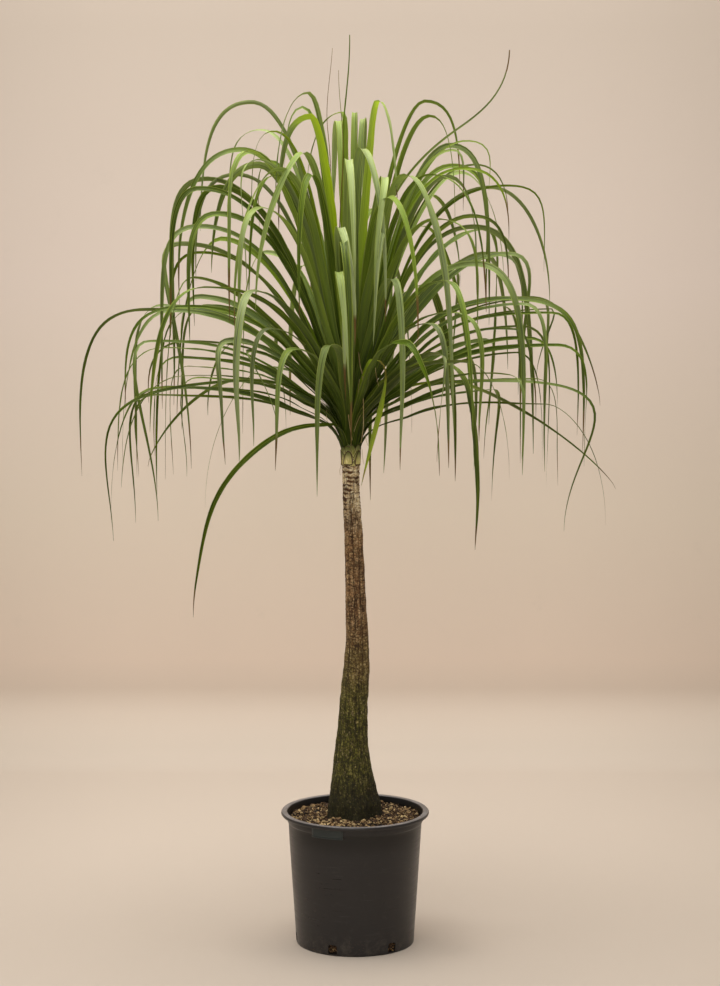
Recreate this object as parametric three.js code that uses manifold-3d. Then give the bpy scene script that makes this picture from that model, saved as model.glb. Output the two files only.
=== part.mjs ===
// Potted ponytail palm: a nursery pot filled with bark mix, a bare ringed trunk
// and one fountain of long strap leaves. Millimetres, +Z up, origin at the centre
// of the pot's flat underside, -Y toward the viewer.

import * as THREE from 'three';
import { mergeVertices } from 'three/addons/utils/BufferGeometryUtils.js';
import Module from 'manifold-3d';

const wasm = await Module();
wasm.setup();

// ---------------------------------------------------------------- pot
const POT_SIDES = 48;
const POT_HEIGHT = 272;
const POT_BASE_R = 119.7;
const POT_SHOULDER_R = 135.4;
const POT_SHOULDER_Z = 249;
const POT_NECK_R = 137.7;
const POT_NECK_Z = 251.5;
const LIP_UNDER_Z = 264;
const LIP_R = 150;
const LIP_INNER_R = 137.2;
const WALL = 2.5;
const FLOOR = 3;
const NOTCH_COUNT = 6;
const NOTCH_WIDTH = 17;
const NOTCH_Z = 4;
const NOTCH_TOP = 22.5;
const NOTCH_CORNER = 4;
const NOTCH_FIRST = -82;
const TAB_FROM = -38;
const TAB_TO = -10;
const TAB_Z = 244;
const TAB_R = 141;
const TAB_ROOT_R = 135.1;

// ---------------------------------------------------------------- bark mix
const FIT = 0.3;
const HOLE_CLEARANCE = 0.9;
const SOIL_WALL_Z = 256.5;
const SOIL_MIDDLE_Z = 262.5;
const SOIL_RELIEF = 2.6;
const SOIL_RINGS = [0, 46, 58, 70, 83, 97, 111, 124];
const SOIL_SEED = 771;

// ---------------------------------------------------------------- trunk
// height, centre x, radius, all in mm, read down the bare stem
const TRUNK_ROWS = [
  [978.5, -8.4, 17.4],
  [928, -7.8, 17.2],
  [886, -5.9, 17.9],
  [827, -2.6, 18.4],
  [760, -0.2, 19.7],
  [693, 1.8, 20.7],
  [626, 4.6, 22.9],
  [575, 3.3, 25.9],
  [523, 0, 28.2],
  [494, -2.8, 28.5],
  [451, -4.5, 30.2],
  [408, -6.6, 33.1],
  [364, -6.3, 38.9],
  [321, -4.8, 46],
  [286, -3.2, 53],
  [258, -3, 55.5],
  [235, -3, 55],
  [205, -3, 47],
  [180, -3, 32],
];
const TRUNK_SIDES = 18;
const TRUNK_FOOT_Z = 180;
const TRUNK_TOP_Z = 978.5;
const RING_STEP_TOP = 9;
const RING_STEP_LOW = 24;
const RING_SCAR = 0.55;
const FLUTE_TOP_Z = 420;
const FLUTE_DEPTH = 4.2;
const FLUTES = 5;
const TRUNK_SEED = 415;

// ---------------------------------------------------------------- crown
const CROWN_X = -8.4;
const CROWN_Y = 0;
const CROWN_Z = 978.8;
const CORE_SIDES = 20;
// radius, height above the crown's foot
const CORE = [
  [18.6, 0],
  [20.6, 21],
  [27, 51],
  [36, 84],
  [46, 118],
  [52, 148],
  [51, 172],
  [36, 196],
  [0, 208],
];
const KEEL_SHARE = 0.11;
const KEEL_MIN = 1.05;
const HALF_WIDTH_MIN = 0.75;
const ROOT_SHARE = 0.5;
const LEAN_OVER = 150;
const RISE_STEPS = [0, 0.42, 0.72, 0.92];
const FALL_STEPS = [0.03, 0.2, 0.42, 0.7, 1];
// for a leaf that hangs further than it climbs
const SHORT_RISE_STEPS = [0, 0.5, 0.88];
const LONG_FALL_STEPS = [0.03, 0.12, 0.25, 0.4, 0.55, 0.7, 0.85, 1];
const LEAF_SEED = 5150;
const RULE_LEAVES = 70;
const GOLDEN_TURN = 137.508;

// The leaves that shape the outline and the front, each placed by hand:
// fold x, y, z, tip x, y, z, width, how far the arch starts before the fold (share),
// throw past the fold, share of the drop that hangs plumb, roll at the fold and tip,
// and, for the few that stand up, the slope at the middle. Sizes in mm, angles in degrees.
const PLACED = [
  // highest folds
  [-91, -40, 1712, -154, -80, 1490, 15, 0.45, 45, 0.6, -10, -30],
  [-103, 20, 1684, -140, 10, 1510, 12, 0.45, 30, 0.6, 0, 30],
  [45, -70, 1696, 81, -130, 1470, 18, 0.35, 35, 0.6, 0, -20],
  [0, 90, 1676, 0, 210, 1440, 14, 0.5, 60, 0.6, 0, 0],
  [139, 30, 1699, 206, 30, 1520, 13, 0.4, 60, 0.6, -20, -40],
  [145, -60, 1666, 194, -110, 1400, 15, 0.4, 50, 0.6, 10, -30],
  [188, -10, 1611, 263, -50, 1260, 15, 0.4, 80, 0.6, 20, 50],
  // upper left
  [-208, 60, 1697, -309, 80, 1440, 13, 0.5, 90, 0.6, 20, 60],
  [-188, 110, 1641, -255, 150, 1420, 12, 0.5, 90, 0.6, 10, 30],
  [-158, -60, 1637, -200, -90, 1440, 10, 0.5, 50, 0.6, -10, -30],
  [-224, -60, 1603, -343, -90, 1300, 15, 0.5, 100, 0.6, -20, -60],
  [-206, -110, 1599, -240, -160, 1270, 16, 0.4, 60, 0.6, -20, -60],
  [-236, 70, 1553, -321, 90, 1340, 14, 0.5, 80, 0.6, 20, 50],
  [-152, -110, 1553, -205, -170, 1310, 15, 0.45, 50, 0.6, -20, -40],
  [-100, -150, 1596, -190, -220, 1300, 21, 0.3, 30, 0.5, -20, -50],
  // left side
  [-297, 90, 1542, -370, 130, 1085, 15, 0.5, 100, 0.7, 20, 60],
  [-307, -90, 1454, -374, -110, 1100, 14, 0.5, 90, 0.7, -20, -60],
  [-347, 110, 1415, -327, 120, 956, 13, 0.5, 190, 0.55, 30, 80],
  [-301, -130, 1526, -358, -150, 1240, 16, 0.5, 60, 0.6, -30, -70],
  [-265, -130, 1478, -319, -170, 1234, 18, 0.5, 70, 0.6, -30, -70],
  [-177, -200, 1492, -221, -250, 1262, 19, 0.4, 60, 0.6, -30, -60],
  [-195, -250, 1336, -219, -330, 1019, 22, 0.4, 60, 0.6, -20, -30],
  [-315, 150, 1393, -380, 180, 1200, 12, 0.5, 80, 0.6, 20, 50],
  [-337, -120, 1300, -443, -150, 1100, 12, 0.5, 120, 0.6, -20, -50],
  [-414, 40, 1287, -552, 40, 950, 11, 0.5, 130, 0.7, 25, 60],
  [-327, 120, 1217, -422, 150, 1088, 11, 0.5, 100, 0.5, 20, 40],
  [-400, -100, 1232, -386, -130, 882, 10, 0.5, 80, 0.5, -20, -50],
  [-243, -140, 1156, -467, -190, 851, 9, 0.5, 330, 0.6, -20, -50],
  [-370, 60, 1128, -447, 70, 851, 9, 0.6, 120, 0.6, 20, 50],
  [-228, 120, 1138, -426, 150, 956, 11, 0.5, 100, 0.2, 30, 60],
  [-243, -200, 1238, -246, -260, 1008, 16, 0.4, 70, 0.6, -30, -60],
  [-70, -60, 1062, -318, -90, 684, 12, 0.3, 190, 0.5, -30, -60],
  [-120, -240, 1225, -150, -290, 1000, 15, 0.4, 50, 0.6, -30, -40],
  [-166, -200, 1262, -195, -250, 1042, 14, 0.4, 50, 0.6, -30, -40],
  [-210, -120, 1215, -150, -220, 1075, 11, 0.4, 30, 0.5, -30, -40],
  // front
  [-13, -230, 1583, 2, -330, 1324, 21, 0.35, 50, 0.6, 0, 10],
  [13, -150, 1604, 60, -270, 1280, 19, 0.35, 70, 0.6, 0, 20],
  [-26, -280, 1457, 0, -360, 1243, 23, 0.35, 50, 0.6, 0, -10],
  [-28, -300, 1375, -7, -380, 1082, 18, 0.35, 50, 0.6, 0, 10],
  [-15, -270, 1331, -17, -330, 1138, 16, 0.35, 40, 0.6, 0, 10],
  [53, -230, 1456, 34, -300, 1238, 18, 0.35, 50, 0.6, -30, -30],
  [55, -200, 1550, 37, -290, 1285, 19, 0.35, 60, 0.6, -10, -10],
  [102, -150, 1552, 189, -250, 1074, 22, 0.35, 60, 0.6, 10, 20],
  [74, -200, 1357, 88, -280, 1000, 17, 0.35, 60, 0.6, 0, 20],
  [33, -120, 1197, 13, -150, 954, 14, 0.35, 50, 0.6, 0, 20],
  [-85, 50, 1668, -150, 160, 1440, 16, 0.3, 60, 0.6, 0, 20],
  // right side
  [147, -90, 1553, 253, -130, 1290, 15, 0.5, 90, 0.6, 20, 50],
  [161, -100, 1468, 239, -120, 1253, 18, 0.5, 90, 0.6, 20, 60],
  [238, 90, 1447, 362, 130, 985, 16, 0.5, 130, 0.6, -20, -60],
  [235, -110, 1384, 325, -150, 975, 17, 0.5, 110, 0.6, 20, 60],
  [191, -180, 1291, 239, -220, 1048, 18, 0.5, 90, 0.6, 20, 40],
  [165, -120, 1190, 236, -160, 829, 18, 0.5, 90, 0.6, 20, 60],
  [317, -60, 1311, 447, -80, 1013, 16, 0.6, 150, 0.7, 20, 50],
  [356, 110, 1306, 501, 130, 1084, 12, 0.6, 90, 0.2, -20, -50],
  [271, 110, 1528, 396, 150, 1286, 14, 0.5, 90, 0.4, -20, -50],
  [299, 20, 1533, 374, 20, 1362, 10, 0.6, 90, 0.7, -20, -40],
  [218, -60, 1618, 261, -80, 1524, 9, 0.5, 60, 0.5, 20, 40],
  [244, 100, 1573, 311, 120, 1470, 10, 0.5, 60, 0.4, -20, -40],
  [192, -60, 1603, 210, -70, 1484, 12, 0.5, 30, 0.5, 20, 40],
  [212, -70, 1567, 299, -100, 1425, 12, 0.6, 80, 0.5, 20, 40],
  [311, -130, 1257, 348, -160, 1085, 11, 0.5, 40, 0.5, 20, 40],
  [327, -150, 1306, 366, -180, 985, 12, 0.5, 60, 0.6, 20, 40],
  [395, 90, 1284, 366, 90, 1145, 10, 0.6, 30, 0.5, -20, -40],
  [376, 150, 1300, 386, 160, 1026, 11, 0.6, 40, 0.6, -20, -40],
  [386, -60, 1286, 436, -80, 1045, 12, 0.6, 60, 0.6, 20, 40],
  [143, -200, 1271, 178, -240, 999, 16, 0.4, 60, 0.6, 20, 30],
  [188, 70, 1137, 531, 100, 916, 11, 0.5, 120, 0.1, -20, -40],
  [287, -70, 1152, 412, -110, 859, 10, 0.6, 320, 0.6, 20, 40],
  // thread-like young tips that stand up out of the top
  [-24, 10, 1600, -10, 10, 1826, 6, 0.3, 0, 0.4, 0, 0, 86],
  [-55, 20, 1640, -44, 20, 1801, 5, 0.3, 0, 0.4, 0, 0, 86],
  [-26, 0, 1640, -30, 0, 1757, 5, 0.3, 0, 0.4, 0, 0, 88],
  [182, 10, 1629, 304, 20, 1797, 6, 0.4, 30, 0.6, 0, 0, 36],
];

// width of a leaf along its length: share of length, share of full width
const WIDTH_PROFILE = [
  [0, 0.55],
  [0.15, 0.64],
  [0.27, 0.96],
  [0.45, 1],
  [0.62, 0.86],
  [0.8, 0.56],
  [0.93, 0.25],
  [1, 0.1],
];

// ---------------------------------------------------------------- looks
const POT_COLOUR = 0x2b292b;
const SOIL_COLOUR = 0x5a4330;
const TRUNK_COLOUR = 0x7a6650;
const LEAF_COLOUR = 0x5f7d3a;

// ---------------------------------------------------------------- helpers
function radians(degrees) {
  return (degrees * Math.PI) / 180;
}

function makeDraw(seed) {
  let state = seed >>> 0;
  const next = () => {
    state = (Math.imul(state, 1664525) + 1013904223) >>> 0;
    return state / 4294967296;
  };
  const bell = (spread) => (next() + next() + next() - 1.5) * 2 * spread;
  return { next, bell };
}

function tableAt(rows, x) {
  for (let i = 1; i < rows.length; i += 1) {
    const [x0, y0] = rows[i - 1];
    const [x1, y1] = rows[i];
    if (x <= x1) return y0 + ((y1 - y0) * (x - x0)) / (x1 - x0);
  }
  return rows[rows.length - 1][1];
}

function toSolid(geometry) {
  const bare = geometry.clone();
  bare.deleteAttribute('normal');
  bare.deleteAttribute('uv');
  const merged = mergeVertices(bare, 1e-4);
  const mesh = new wasm.Mesh({
    numProp: 3,
    vertProperties: new Float32Array(merged.attributes.position.array),
    triVerts: new Uint32Array(merged.index.array),
  });
  return new wasm.Manifold(mesh);
}

function toGeometry(positions, indices) {
  const geometry = new THREE.BufferGeometry();
  geometry.setAttribute('position', new THREE.Float32BufferAttribute(positions, 3));
  geometry.setIndex(indices);
  geometry.computeVertexNormals();
  return geometry;
}

function fromSolid(solid) {
  const mesh = solid.getMesh();
  return toGeometry(Array.from(mesh.vertProperties), Array.from(mesh.triVerts));
}

// Joins solids two by two, which keeps each step small.
function joinAll(solids) {
  let row = solids;
  while (row.length > 1) {
    const nextRow = [];
    for (let i = 0; i < row.length; i += 2) {
      nextRow.push(i + 1 < row.length ? row[i].add(row[i + 1]) : row[i]);
    }
    row = nextRow;
  }
  return row[0];
}

// Keeps the shell with the largest volume, so that hollows sealed between
// crossing leaves are filled and loose scraps are left out.
function outerShell(geometry) {
  const position = geometry.attributes.position;
  const index = geometry.index.array;
  const parent = Array.from({ length: position.count }, (_, i) => i);
  const find = (i) => {
    let root = i;
    while (parent[root] !== root) root = parent[root];
    while (parent[i] !== root) {
      const up = parent[i];
      parent[i] = root;
      i = up;
    }
    return root;
  };
  for (let i = 0; i < index.length; i += 3) {
    const a = find(index[i]);
    parent[find(index[i + 1])] = a;
    parent[find(index[i + 2])] = a;
  }
  const volumes = new Map();
  const a = new THREE.Vector3();
  const b = new THREE.Vector3();
  const c = new THREE.Vector3();
  for (let i = 0; i < index.length; i += 3) {
    a.fromBufferAttribute(position, index[i]);
    b.fromBufferAttribute(position, index[i + 1]);
    c.fromBufferAttribute(position, index[i + 2]);
    const shell = find(index[i]);
    volumes.set(shell, (volumes.get(shell) ?? 0) + a.dot(b.cross(c)) / 6);
  }
  const largest = [...volumes.entries()].sort((p, q) => q[1] - p[1])[0][0];
  const kept = [];
  for (let i = 0; i < index.length; i += 3) {
    if (find(index[i]) === largest) kept.push(index[i], index[i + 1], index[i + 2]);
  }
  return toGeometry(Array.from(position.array), kept);
}

// A closed skin through rings of equal point counts, capped at both ends.
// Rings run counter-clockwise seen from the end they advance toward.
function loft(rings) {
  const sides = rings[0].length;
  const positions = rings.flat().flatMap((p) => [p.x, p.y, p.z]);
  const indices = [];
  for (let r = 0; r + 1 < rings.length; r += 1) {
    for (let s = 0; s < sides; s += 1) {
      const t = (s + 1) % sides;
      const a = r * sides + s;
      const b = r * sides + t;
      const c = (r + 1) * sides + s;
      const d = (r + 1) * sides + t;
      indices.push(a, b, d, a, d, c);
    }
  }
  const last = (rings.length - 1) * sides;
  for (let s = 1; s + 1 < sides; s += 1) {
    indices.push(0, s + 1, s);
    indices.push(last, last + s, last + s + 1);
  }
  return toGeometry(positions, indices);
}

// ---------------------------------------------------------------- pot
function latheUp(profile, sides) {
  const points = profile.map(([r, z]) => new THREE.Vector2(r, z));
  const geometry = new THREE.LatheGeometry(points, sides);
  geometry.rotateX(Math.PI / 2);
  return geometry;
}

function potProfile() {
  const inner = LIP_INNER_R - 2.2;
  return [
    [0, 0],
    [POT_BASE_R - 1.4, 0],
    [POT_BASE_R, 1.4],
    [POT_SHOULDER_R, POT_SHOULDER_Z],
    [POT_NECK_R - 0.3, POT_NECK_Z],
    [POT_NECK_R, LIP_UNDER_Z],
    [LIP_R - 3, LIP_UNDER_Z],
    [LIP_R - 0.7, LIP_UNDER_Z + 1.4],
    [LIP_R, LIP_UNDER_Z + 4],
    [LIP_R - 0.8, POT_HEIGHT - 1.3],
    [LIP_R - 3, POT_HEIGHT],
    [LIP_INNER_R + 3, POT_HEIGHT],
    [LIP_INNER_R + 0.8, POT_HEIGHT - 1.1],
    [LIP_INNER_R, POT_HEIGHT - 3.6],
    [inner + 0.1, LIP_UNDER_Z - 2],
    [inner, POT_NECK_Z + 1.1],
    [POT_SHOULDER_R - WALL - 0.2, POT_SHOULDER_Z + 0.6],
    [POT_BASE_R - WALL, FLOOR],
    [0, FLOOR],
  ];
}

function drainageNotch() {
  const half = NOTCH_WIDTH / 2;
  const shape = new THREE.Shape();
  shape.moveTo(-half, NOTCH_Z);
  shape.lineTo(half, NOTCH_Z);
  shape.lineTo(half, NOTCH_TOP - NOTCH_CORNER);
  shape.absarc(half - NOTCH_CORNER, NOTCH_TOP - NOTCH_CORNER, NOTCH_CORNER, 0, Math.PI / 2);
  shape.absarc(NOTCH_CORNER - half, NOTCH_TOP - NOTCH_CORNER, NOTCH_CORNER, Math.PI / 2, Math.PI);
  shape.closePath();
  const geometry = new THREE.ExtrudeGeometry(shape, { depth: 20, bevelEnabled: false, curveSegments: 4 });
  // the sketch stands up and is pushed outward through the wall, toward -Y
  geometry.rotateX(Math.PI / 2);
  geometry.translate(0, -(POT_BASE_R - 10), 0);
  return geometry;
}

function labelTab() {
  const shape = new THREE.Shape();
  const from = radians(TAB_FROM - 90);
  const to = radians(TAB_TO - 90);
  shape.absarc(0, 0, TAB_R, from, to, false);
  shape.absarc(0, 0, TAB_ROOT_R, to, from, true);
  shape.closePath();
  const depth = LIP_UNDER_Z + 1.5 - TAB_Z;
  const geometry = new THREE.ExtrudeGeometry(shape, { depth, bevelEnabled: false, curveSegments: 10 });
  geometry.translate(0, 0, TAB_Z);
  return geometry;
}

function buildPot() {
  let solid = toSolid(latheUp(potProfile(), POT_SIDES));
  for (let i = 0; i < NOTCH_COUNT; i += 1) {
    const notch = drainageNotch();
    notch.rotateZ(radians(NOTCH_FIRST + (360 / NOTCH_COUNT) * i));
    solid = solid.subtract(toSolid(notch));
  }
  solid = solid.add(toSolid(labelTab()));
  return fromSolid(solid);
}

// ---------------------------------------------------------------- trunk
function trunkLine(z) {
  const rows = TRUNK_ROWS;
  let i = 1;
  while (i < rows.length - 1 && z < rows[i][0]) i += 1;
  const [z0, x0, r0] = rows[i - 1];
  const [z1, x1, r1] = rows[i];
  const t = (z0 - z) / (z0 - z1);
  const ease = t * t * (3 - 2 * t);
  return { x: x0 + (x1 - x0) * ease, r: r0 + (r1 - r0) * (0.5 * t + 0.5 * ease) };
}

// Shallow flutes that deepen toward the roots; they fade again below the surface.
function flute(z, angle) {
  const rise = THREE.MathUtils.clamp((FLUTE_TOP_Z - z) / (FLUTE_TOP_Z - SOIL_MIDDLE_Z), 0, 1);
  const fade = THREE.MathUtils.clamp((z - TRUNK_FOOT_Z) / 60, 0, 1);
  const wave = Math.cos(FLUTES * angle + 0.8) + 0.45 * Math.cos(3 * angle - 1.1);
  return FLUTE_DEPTH * rise * rise * fade * wave;
}

function trunkRing(z, extra) {
  const { x, r } = trunkLine(z);
  const ring = [];
  for (let s = 0; s < TRUNK_SIDES; s += 1) {
    const angle = (2 * Math.PI * s) / TRUNK_SIDES;
    const radius = r + extra + flute(z, angle);
    ring.push(new THREE.Vector3(x + radius * Math.cos(angle), radius * Math.sin(angle), z));
  }
  return ring;
}

// Heights of the trunk's rings, with the small step in radius that each leaf scar leaves.
function trunkSteps() {
  const draw = makeDraw(TRUNK_SEED);
  const steps = [];
  let z = TRUNK_FOOT_Z;
  let raised = false;
  while (z < TRUNK_TOP_Z - 4) {
    const bare = z > SOIL_MIDDLE_Z + 20;
    const scar = RING_SCAR * (raised ? 1 : -1) + draw.bell(0.15);
    steps.push({ z, scar: bare ? scar : 0 });
    raised = !raised;
    const share = THREE.MathUtils.clamp((z - 300) / 600, 0, 1);
    z += THREE.MathUtils.lerp(RING_STEP_LOW, RING_STEP_TOP, share) * (0.85 + 0.3 * draw.next());
  }
  steps.push({ z: TRUNK_TOP_Z, scar: 0 });
  return steps;
}

function buildTrunk() {
  return loft(trunkSteps().map(({ z, scar }) => trunkRing(z, scar)));
}

// The buried foot with clearance all round: what is cut out of the bark mix.
function trunkHole() {
  const steps = trunkSteps();
  const above = steps.findIndex(({ z }) => z > SOIL_MIDDLE_Z + 12);
  const rings = steps.slice(0, above + 1).map(({ z, scar }) => trunkRing(z, scar + HOLE_CLEARANCE));
  rings[0].forEach((p) => p.setZ(TRUNK_FOOT_Z - FIT));
  return loft(rings);
}

// ---------------------------------------------------------------- bark mix
function soilHeight(radius, draw) {
  const share = THREE.MathUtils.clamp((radius - 55) / (134 - 55), 0, 1);
  return THREE.MathUtils.lerp(SOIL_MIDDLE_Z, SOIL_WALL_Z, share) + draw.bell(SOIL_RELIEF * 0.6);
}

function buildSoil() {
  const draw = makeDraw(SOIL_SEED);
  const outer = LIP_INNER_R - 2.2 - FIT;
  // the body below the surface, which follows the pot's inside
  const body = [
    [0, FLOOR + FIT],
    [POT_BASE_R - WALL - FIT - 0.1, FLOOR + FIT],
    [POT_SHOULDER_R - WALL - 0.2 - FIT, POT_SHOULDER_Z + 0.4],
    [outer - 0.1, POT_NECK_Z + 1.6],
    [outer, SOIL_WALL_Z],
  ];
  const positions = [];
  const rings = [];
  const ringAt = (radius, heightAt) => {
    const start = positions.length / 3;
    for (let s = 0; s < POT_SIDES; s += 1) {
      const angle = (2 * Math.PI * s) / POT_SIDES;
      positions.push(radius * Math.sin(angle), -radius * Math.cos(angle), heightAt());
    }
    rings.push(start);
  };
  positions.push(0, 0, body[0][1]);
  for (const [radius, z] of body.slice(1)) ringAt(radius, () => z);
  for (const radius of SOIL_RINGS.slice(1).reverse()) ringAt(radius, () => soilHeight(radius, draw));
  const top = positions.length / 3;
  positions.push(0, 0, SOIL_MIDDLE_Z);
  const indices = [];
  for (let s = 0; s < POT_SIDES; s += 1) {
    const t = (s + 1) % POT_SIDES;
    indices.push(0, rings[0] + t, rings[0] + s);
    for (let r = 0; r + 1 < rings.length; r += 1) {
      const a = rings[r] + s;
      const b = rings[r] + t;
      const c = rings[r + 1] + s;
      const d = rings[r + 1] + t;
      indices.push(a, b, d, a, d, c);
    }
    const end = rings[rings.length - 1];
    indices.push(end + s, end + t, top);
  }
  const solid = toSolid(toGeometry(positions, indices)).subtract(toSolid(trunkHole()));
  return outerShell(fromSolid(solid));
}

// ---------------------------------------------------------------- leaves
// The leaves that fill the fountain all round, by the turn that a growing tip makes.
function ruleLeaves() {
  const draw = makeDraw(LEAF_SEED);
  const rows = [];
  for (let i = 0; rows.length < RULE_LEAVES; i += 1) {
    const azimuth = radians((i * GOLDEN_TURN + draw.bell(6)) % 360);
    const keep = draw.next();
    const share = ((i % RULE_LEAVES) + 0.5) / RULE_LEAVES;
    const lift = 17 + 62 * share ** 0.92 + draw.bell(4);
    const reach = 352 + 345 * (Math.max(lift, 0) / 90) ** 1.2 + draw.bell(32);
    let drop = 330 + draw.bell(60);
    let outward = 72 + draw.bell(25);
    const sway = draw.bell(45);
    const width = 17 + draw.bell(2);
    const rollFold = draw.bell(20);
    const rollTip = draw.bell(60);
    const shape = draw.next();
    const towardViewer = -Math.sin(azimuth);
    const filledByHand = towardViewer > 0.2 && keep < 0.55;
    if (lift > 62) {
      drop *= 0.75;
      outward *= 0.8;
    }
    if (lift < 34) drop *= 0.72;
    const flat = reach * Math.cos(radians(lift));
    const ca = Math.cos(azimuth);
    const sa = Math.sin(azimuth);
    const x = CROWN_X + flat * ca;
    const y = CROWN_Y + flat * sa;
    const z = CROWN_Z + 20 + reach * Math.sin(radians(lift));
    const tipX = x + outward * ca - sway * sa;
    const tipY = y + outward * sa + sway * ca;
    const arch = 0.32 + 0.18 * shape;
    const thrown = 40 + 50 * shape;
    const row = [x, y, z, tipX, tipY, z - drop, width, arch, thrown, 0.6, rollFold, rollTip];
    if (!filledByHand) rows.push(row);
  }
  return rows;
}

// Two smooth spans for each leaf: from its root up to the fold, and from there to the tip.
function leafSpans(row) {
  const [ax, ay, az, tx, ty, tz, , arch, thrown, hang, , , tilt = 0] = row;
  const fold = new THREE.Vector3(ax, ay, az);
  const tip = new THREE.Vector3(tx, ty, tz);
  const dx = ax - CROWN_X;
  const dy = ay - CROWN_Y;
  const flat = Math.hypot(dx, dy);
  const azimuth = Math.atan2(dy, dx);
  const elevation = THREE.MathUtils.radToDeg(Math.atan2(az - CROWN_Z - 20, flat));
  // low leaves sit low on the core, high ones near its top
  const rank = THREE.MathUtils.clamp((elevation - 5) / 82, 0, 1);
  const height = 14 + 122 * rank;
  const rootR = tableAt(CORE.map(([r, h]) => [h, r]), height) * ROOT_SHARE;
  const out = new THREE.Vector3(Math.cos(azimuth), Math.sin(azimuth), 0);
  const crown = new THREE.Vector3(CROWN_X, CROWN_Y, CROWN_Z + height);
  const root = crown.addScaledVector(out, rootR);
  const span = root.distanceTo(fold);
  const lift = radians(Math.min(88, 30 + elevation * 0.72));
  const launch = out.clone().multiplyScalar(Math.cos(lift)).setZ(Math.sin(lift));
  // the fold leans toward the tip only as far as the tip stands away from it
  const away = new THREE.Vector3(tx - ax, ty - ay, 0);
  const pull = Math.min(away.length() / LEAN_OVER, 1);
  const course = away.normalize().multiplyScalar(pull).add(out).normalize();
  const slope = radians(tilt);
  const tangent = course.multiplyScalar(Math.cos(slope)).setZ(Math.sin(slope));
  const standing = slope >= 0.3;
  const back = Math.max(arch * (standing ? span : flat), 18);
  const drop = az - tz;
  const reach = standing ? Math.max(thrown, 0.33 * Math.abs(drop)) : thrown;
  const rise = new THREE.CubicBezierCurve3(
    root,
    root.clone().addScaledVector(launch, 0.42 * span),
    fold.clone().addScaledVector(tangent, -back),
    fold,
  );
  const descent = new THREE.CubicBezierCurve3(
    fold,
    fold.clone().addScaledVector(tangent, reach),
    new THREE.Vector3(tx, ty, tz + hang * drop),
    tip,
  );
  return { rise, descent, azimuth };
}

// Stations along a leaf: centre, side and normal directions and half width.
function leafStations(row) {
  const [, , , , , , width, , , , rollFold, rollTip] = row;
  const { rise, descent, azimuth } = leafSpans(row);
  const trailing = descent.getLength() > 1.1 * rise.getLength();
  const riseSteps = trailing ? SHORT_RISE_STEPS : RISE_STEPS;
  const fallSteps = trailing ? LONG_FALL_STEPS : FALL_STEPS;
  const points = [
    ...riseSteps.map((t) => rise.getPoint(t)),
    ...fallSteps.map((t) => descent.getPoint(t)),
  ];
  const count = points.length;
  const along = [0];
  for (let i = 1; i < count; i += 1) along.push(along[i - 1] + points[i].distanceTo(points[i - 1]));
  const total = along[count - 1];
  const knee = riseSteps.length;
  const side = new THREE.Vector3(-Math.sin(azimuth), Math.cos(azimuth), 0);
  const stations = [];
  for (let i = 0; i < count; i += 1) {
    const before = points[Math.max(i - 1, 0)];
    const after = points[Math.min(i + 1, count - 1)];
    const tangent = after.clone().sub(before).normalize();
    side.addScaledVector(tangent, -side.dot(tangent)).normalize();
    const normal = tangent.clone().cross(side);
    const rising = along[i] / along[knee];
    const falling = (along[i] - along[knee]) / (total - along[knee]);
    const roll = radians(i <= knee ? rollFold * rising : rollFold + (rollTip - rollFold) * falling);
    const across = side.clone().multiplyScalar(Math.cos(roll)).addScaledVector(normal, Math.sin(roll));
    const half = Math.max(0.5 * width * tableAt(WIDTH_PROFILE, along[i] / total), HALF_WIDTH_MIN);
    stations.push({ centre: points[i], across, normal: tangent.clone().cross(across), half, roll });
  }
  return stations;
}

// A blade with two edges and a keel. Top and underside are split along the same
// diagonals, on the side where the twist makes the blade thicker.
function leafBlade(row) {
  const stations = leafStations(row);
  const positions = [];
  for (const { centre, across, normal, half } of stations) {
    const keel = Math.max(2 * half * KEEL_SHARE, KEEL_MIN);
    const left = centre.clone().addScaledVector(across, half);
    const right = centre.clone().addScaledVector(across, -half);
    const under = centre.clone().addScaledVector(normal, -keel);
    positions.push(left.x, left.y, left.z, right.x, right.y, right.z, under.x, under.y, under.z);
  }
  const indices = [0, 2, 1];
  const faces = [
    [0, 1],
    [1, 2],
    [2, 0],
  ];
  for (let i = 0; i + 1 < stations.length; i += 1) {
    const a = 3 * i;
    const b = a + 3;
    const firstWay = stations[i + 1].roll < stations[i].roll;
    for (const [p, q] of faces) {
      if (firstWay) indices.push(a + p, a + q, b + q, a + p, b + q, b + p);
      else indices.push(a + p, a + q, b + p, a + q, b + q, b + p);
    }
  }
  const end = 3 * (stations.length - 1);
  indices.push(end, end + 1, end + 2);
  return toGeometry(positions, indices);
}

function buildCrown() {
  const core = latheUp([[0, 0], ...CORE], CORE_SIDES);
  core.translate(CROWN_X, CROWN_Y, CROWN_Z);
  const blades = [...PLACED, ...ruleLeaves()].map((row) => toSolid(leafBlade(row)));
  return outerShell(fromSolid(joinAll([toSolid(core), ...blades])));
}

// ---------------------------------------------------------------- assembly
function piece(name, geometry, colour, roughness) {
  const material = new THREE.MeshStandardMaterial({ color: colour, roughness, metalness: 0 });
  const mesh = new THREE.Mesh(geometry, material);
  mesh.name = name;
  return mesh;
}

const group = new THREE.Group();
group.add(piece('pot', buildPot(), POT_COLOUR, 0.55));
group.add(piece('soil', buildSoil(), SOIL_COLOUR, 0.95));
group.add(piece('trunk', buildTrunk(), TRUNK_COLOUR, 0.85));
group.add(piece('leaf_crown', buildCrown(), LEAF_COLOUR, 0.5));

export default group;
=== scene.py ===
"""Potted ponytail palm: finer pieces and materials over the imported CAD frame.

Metres, +Z up, origin at the centre of the pot's underside, -Y toward the viewer.
The sizes and the leaf table are the CAD part's own, in millimetres, but for the foot
notches, two placed leaves and one left-out leaf, whose comments say how they differ.
"""

import math
from itertools import product

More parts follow.
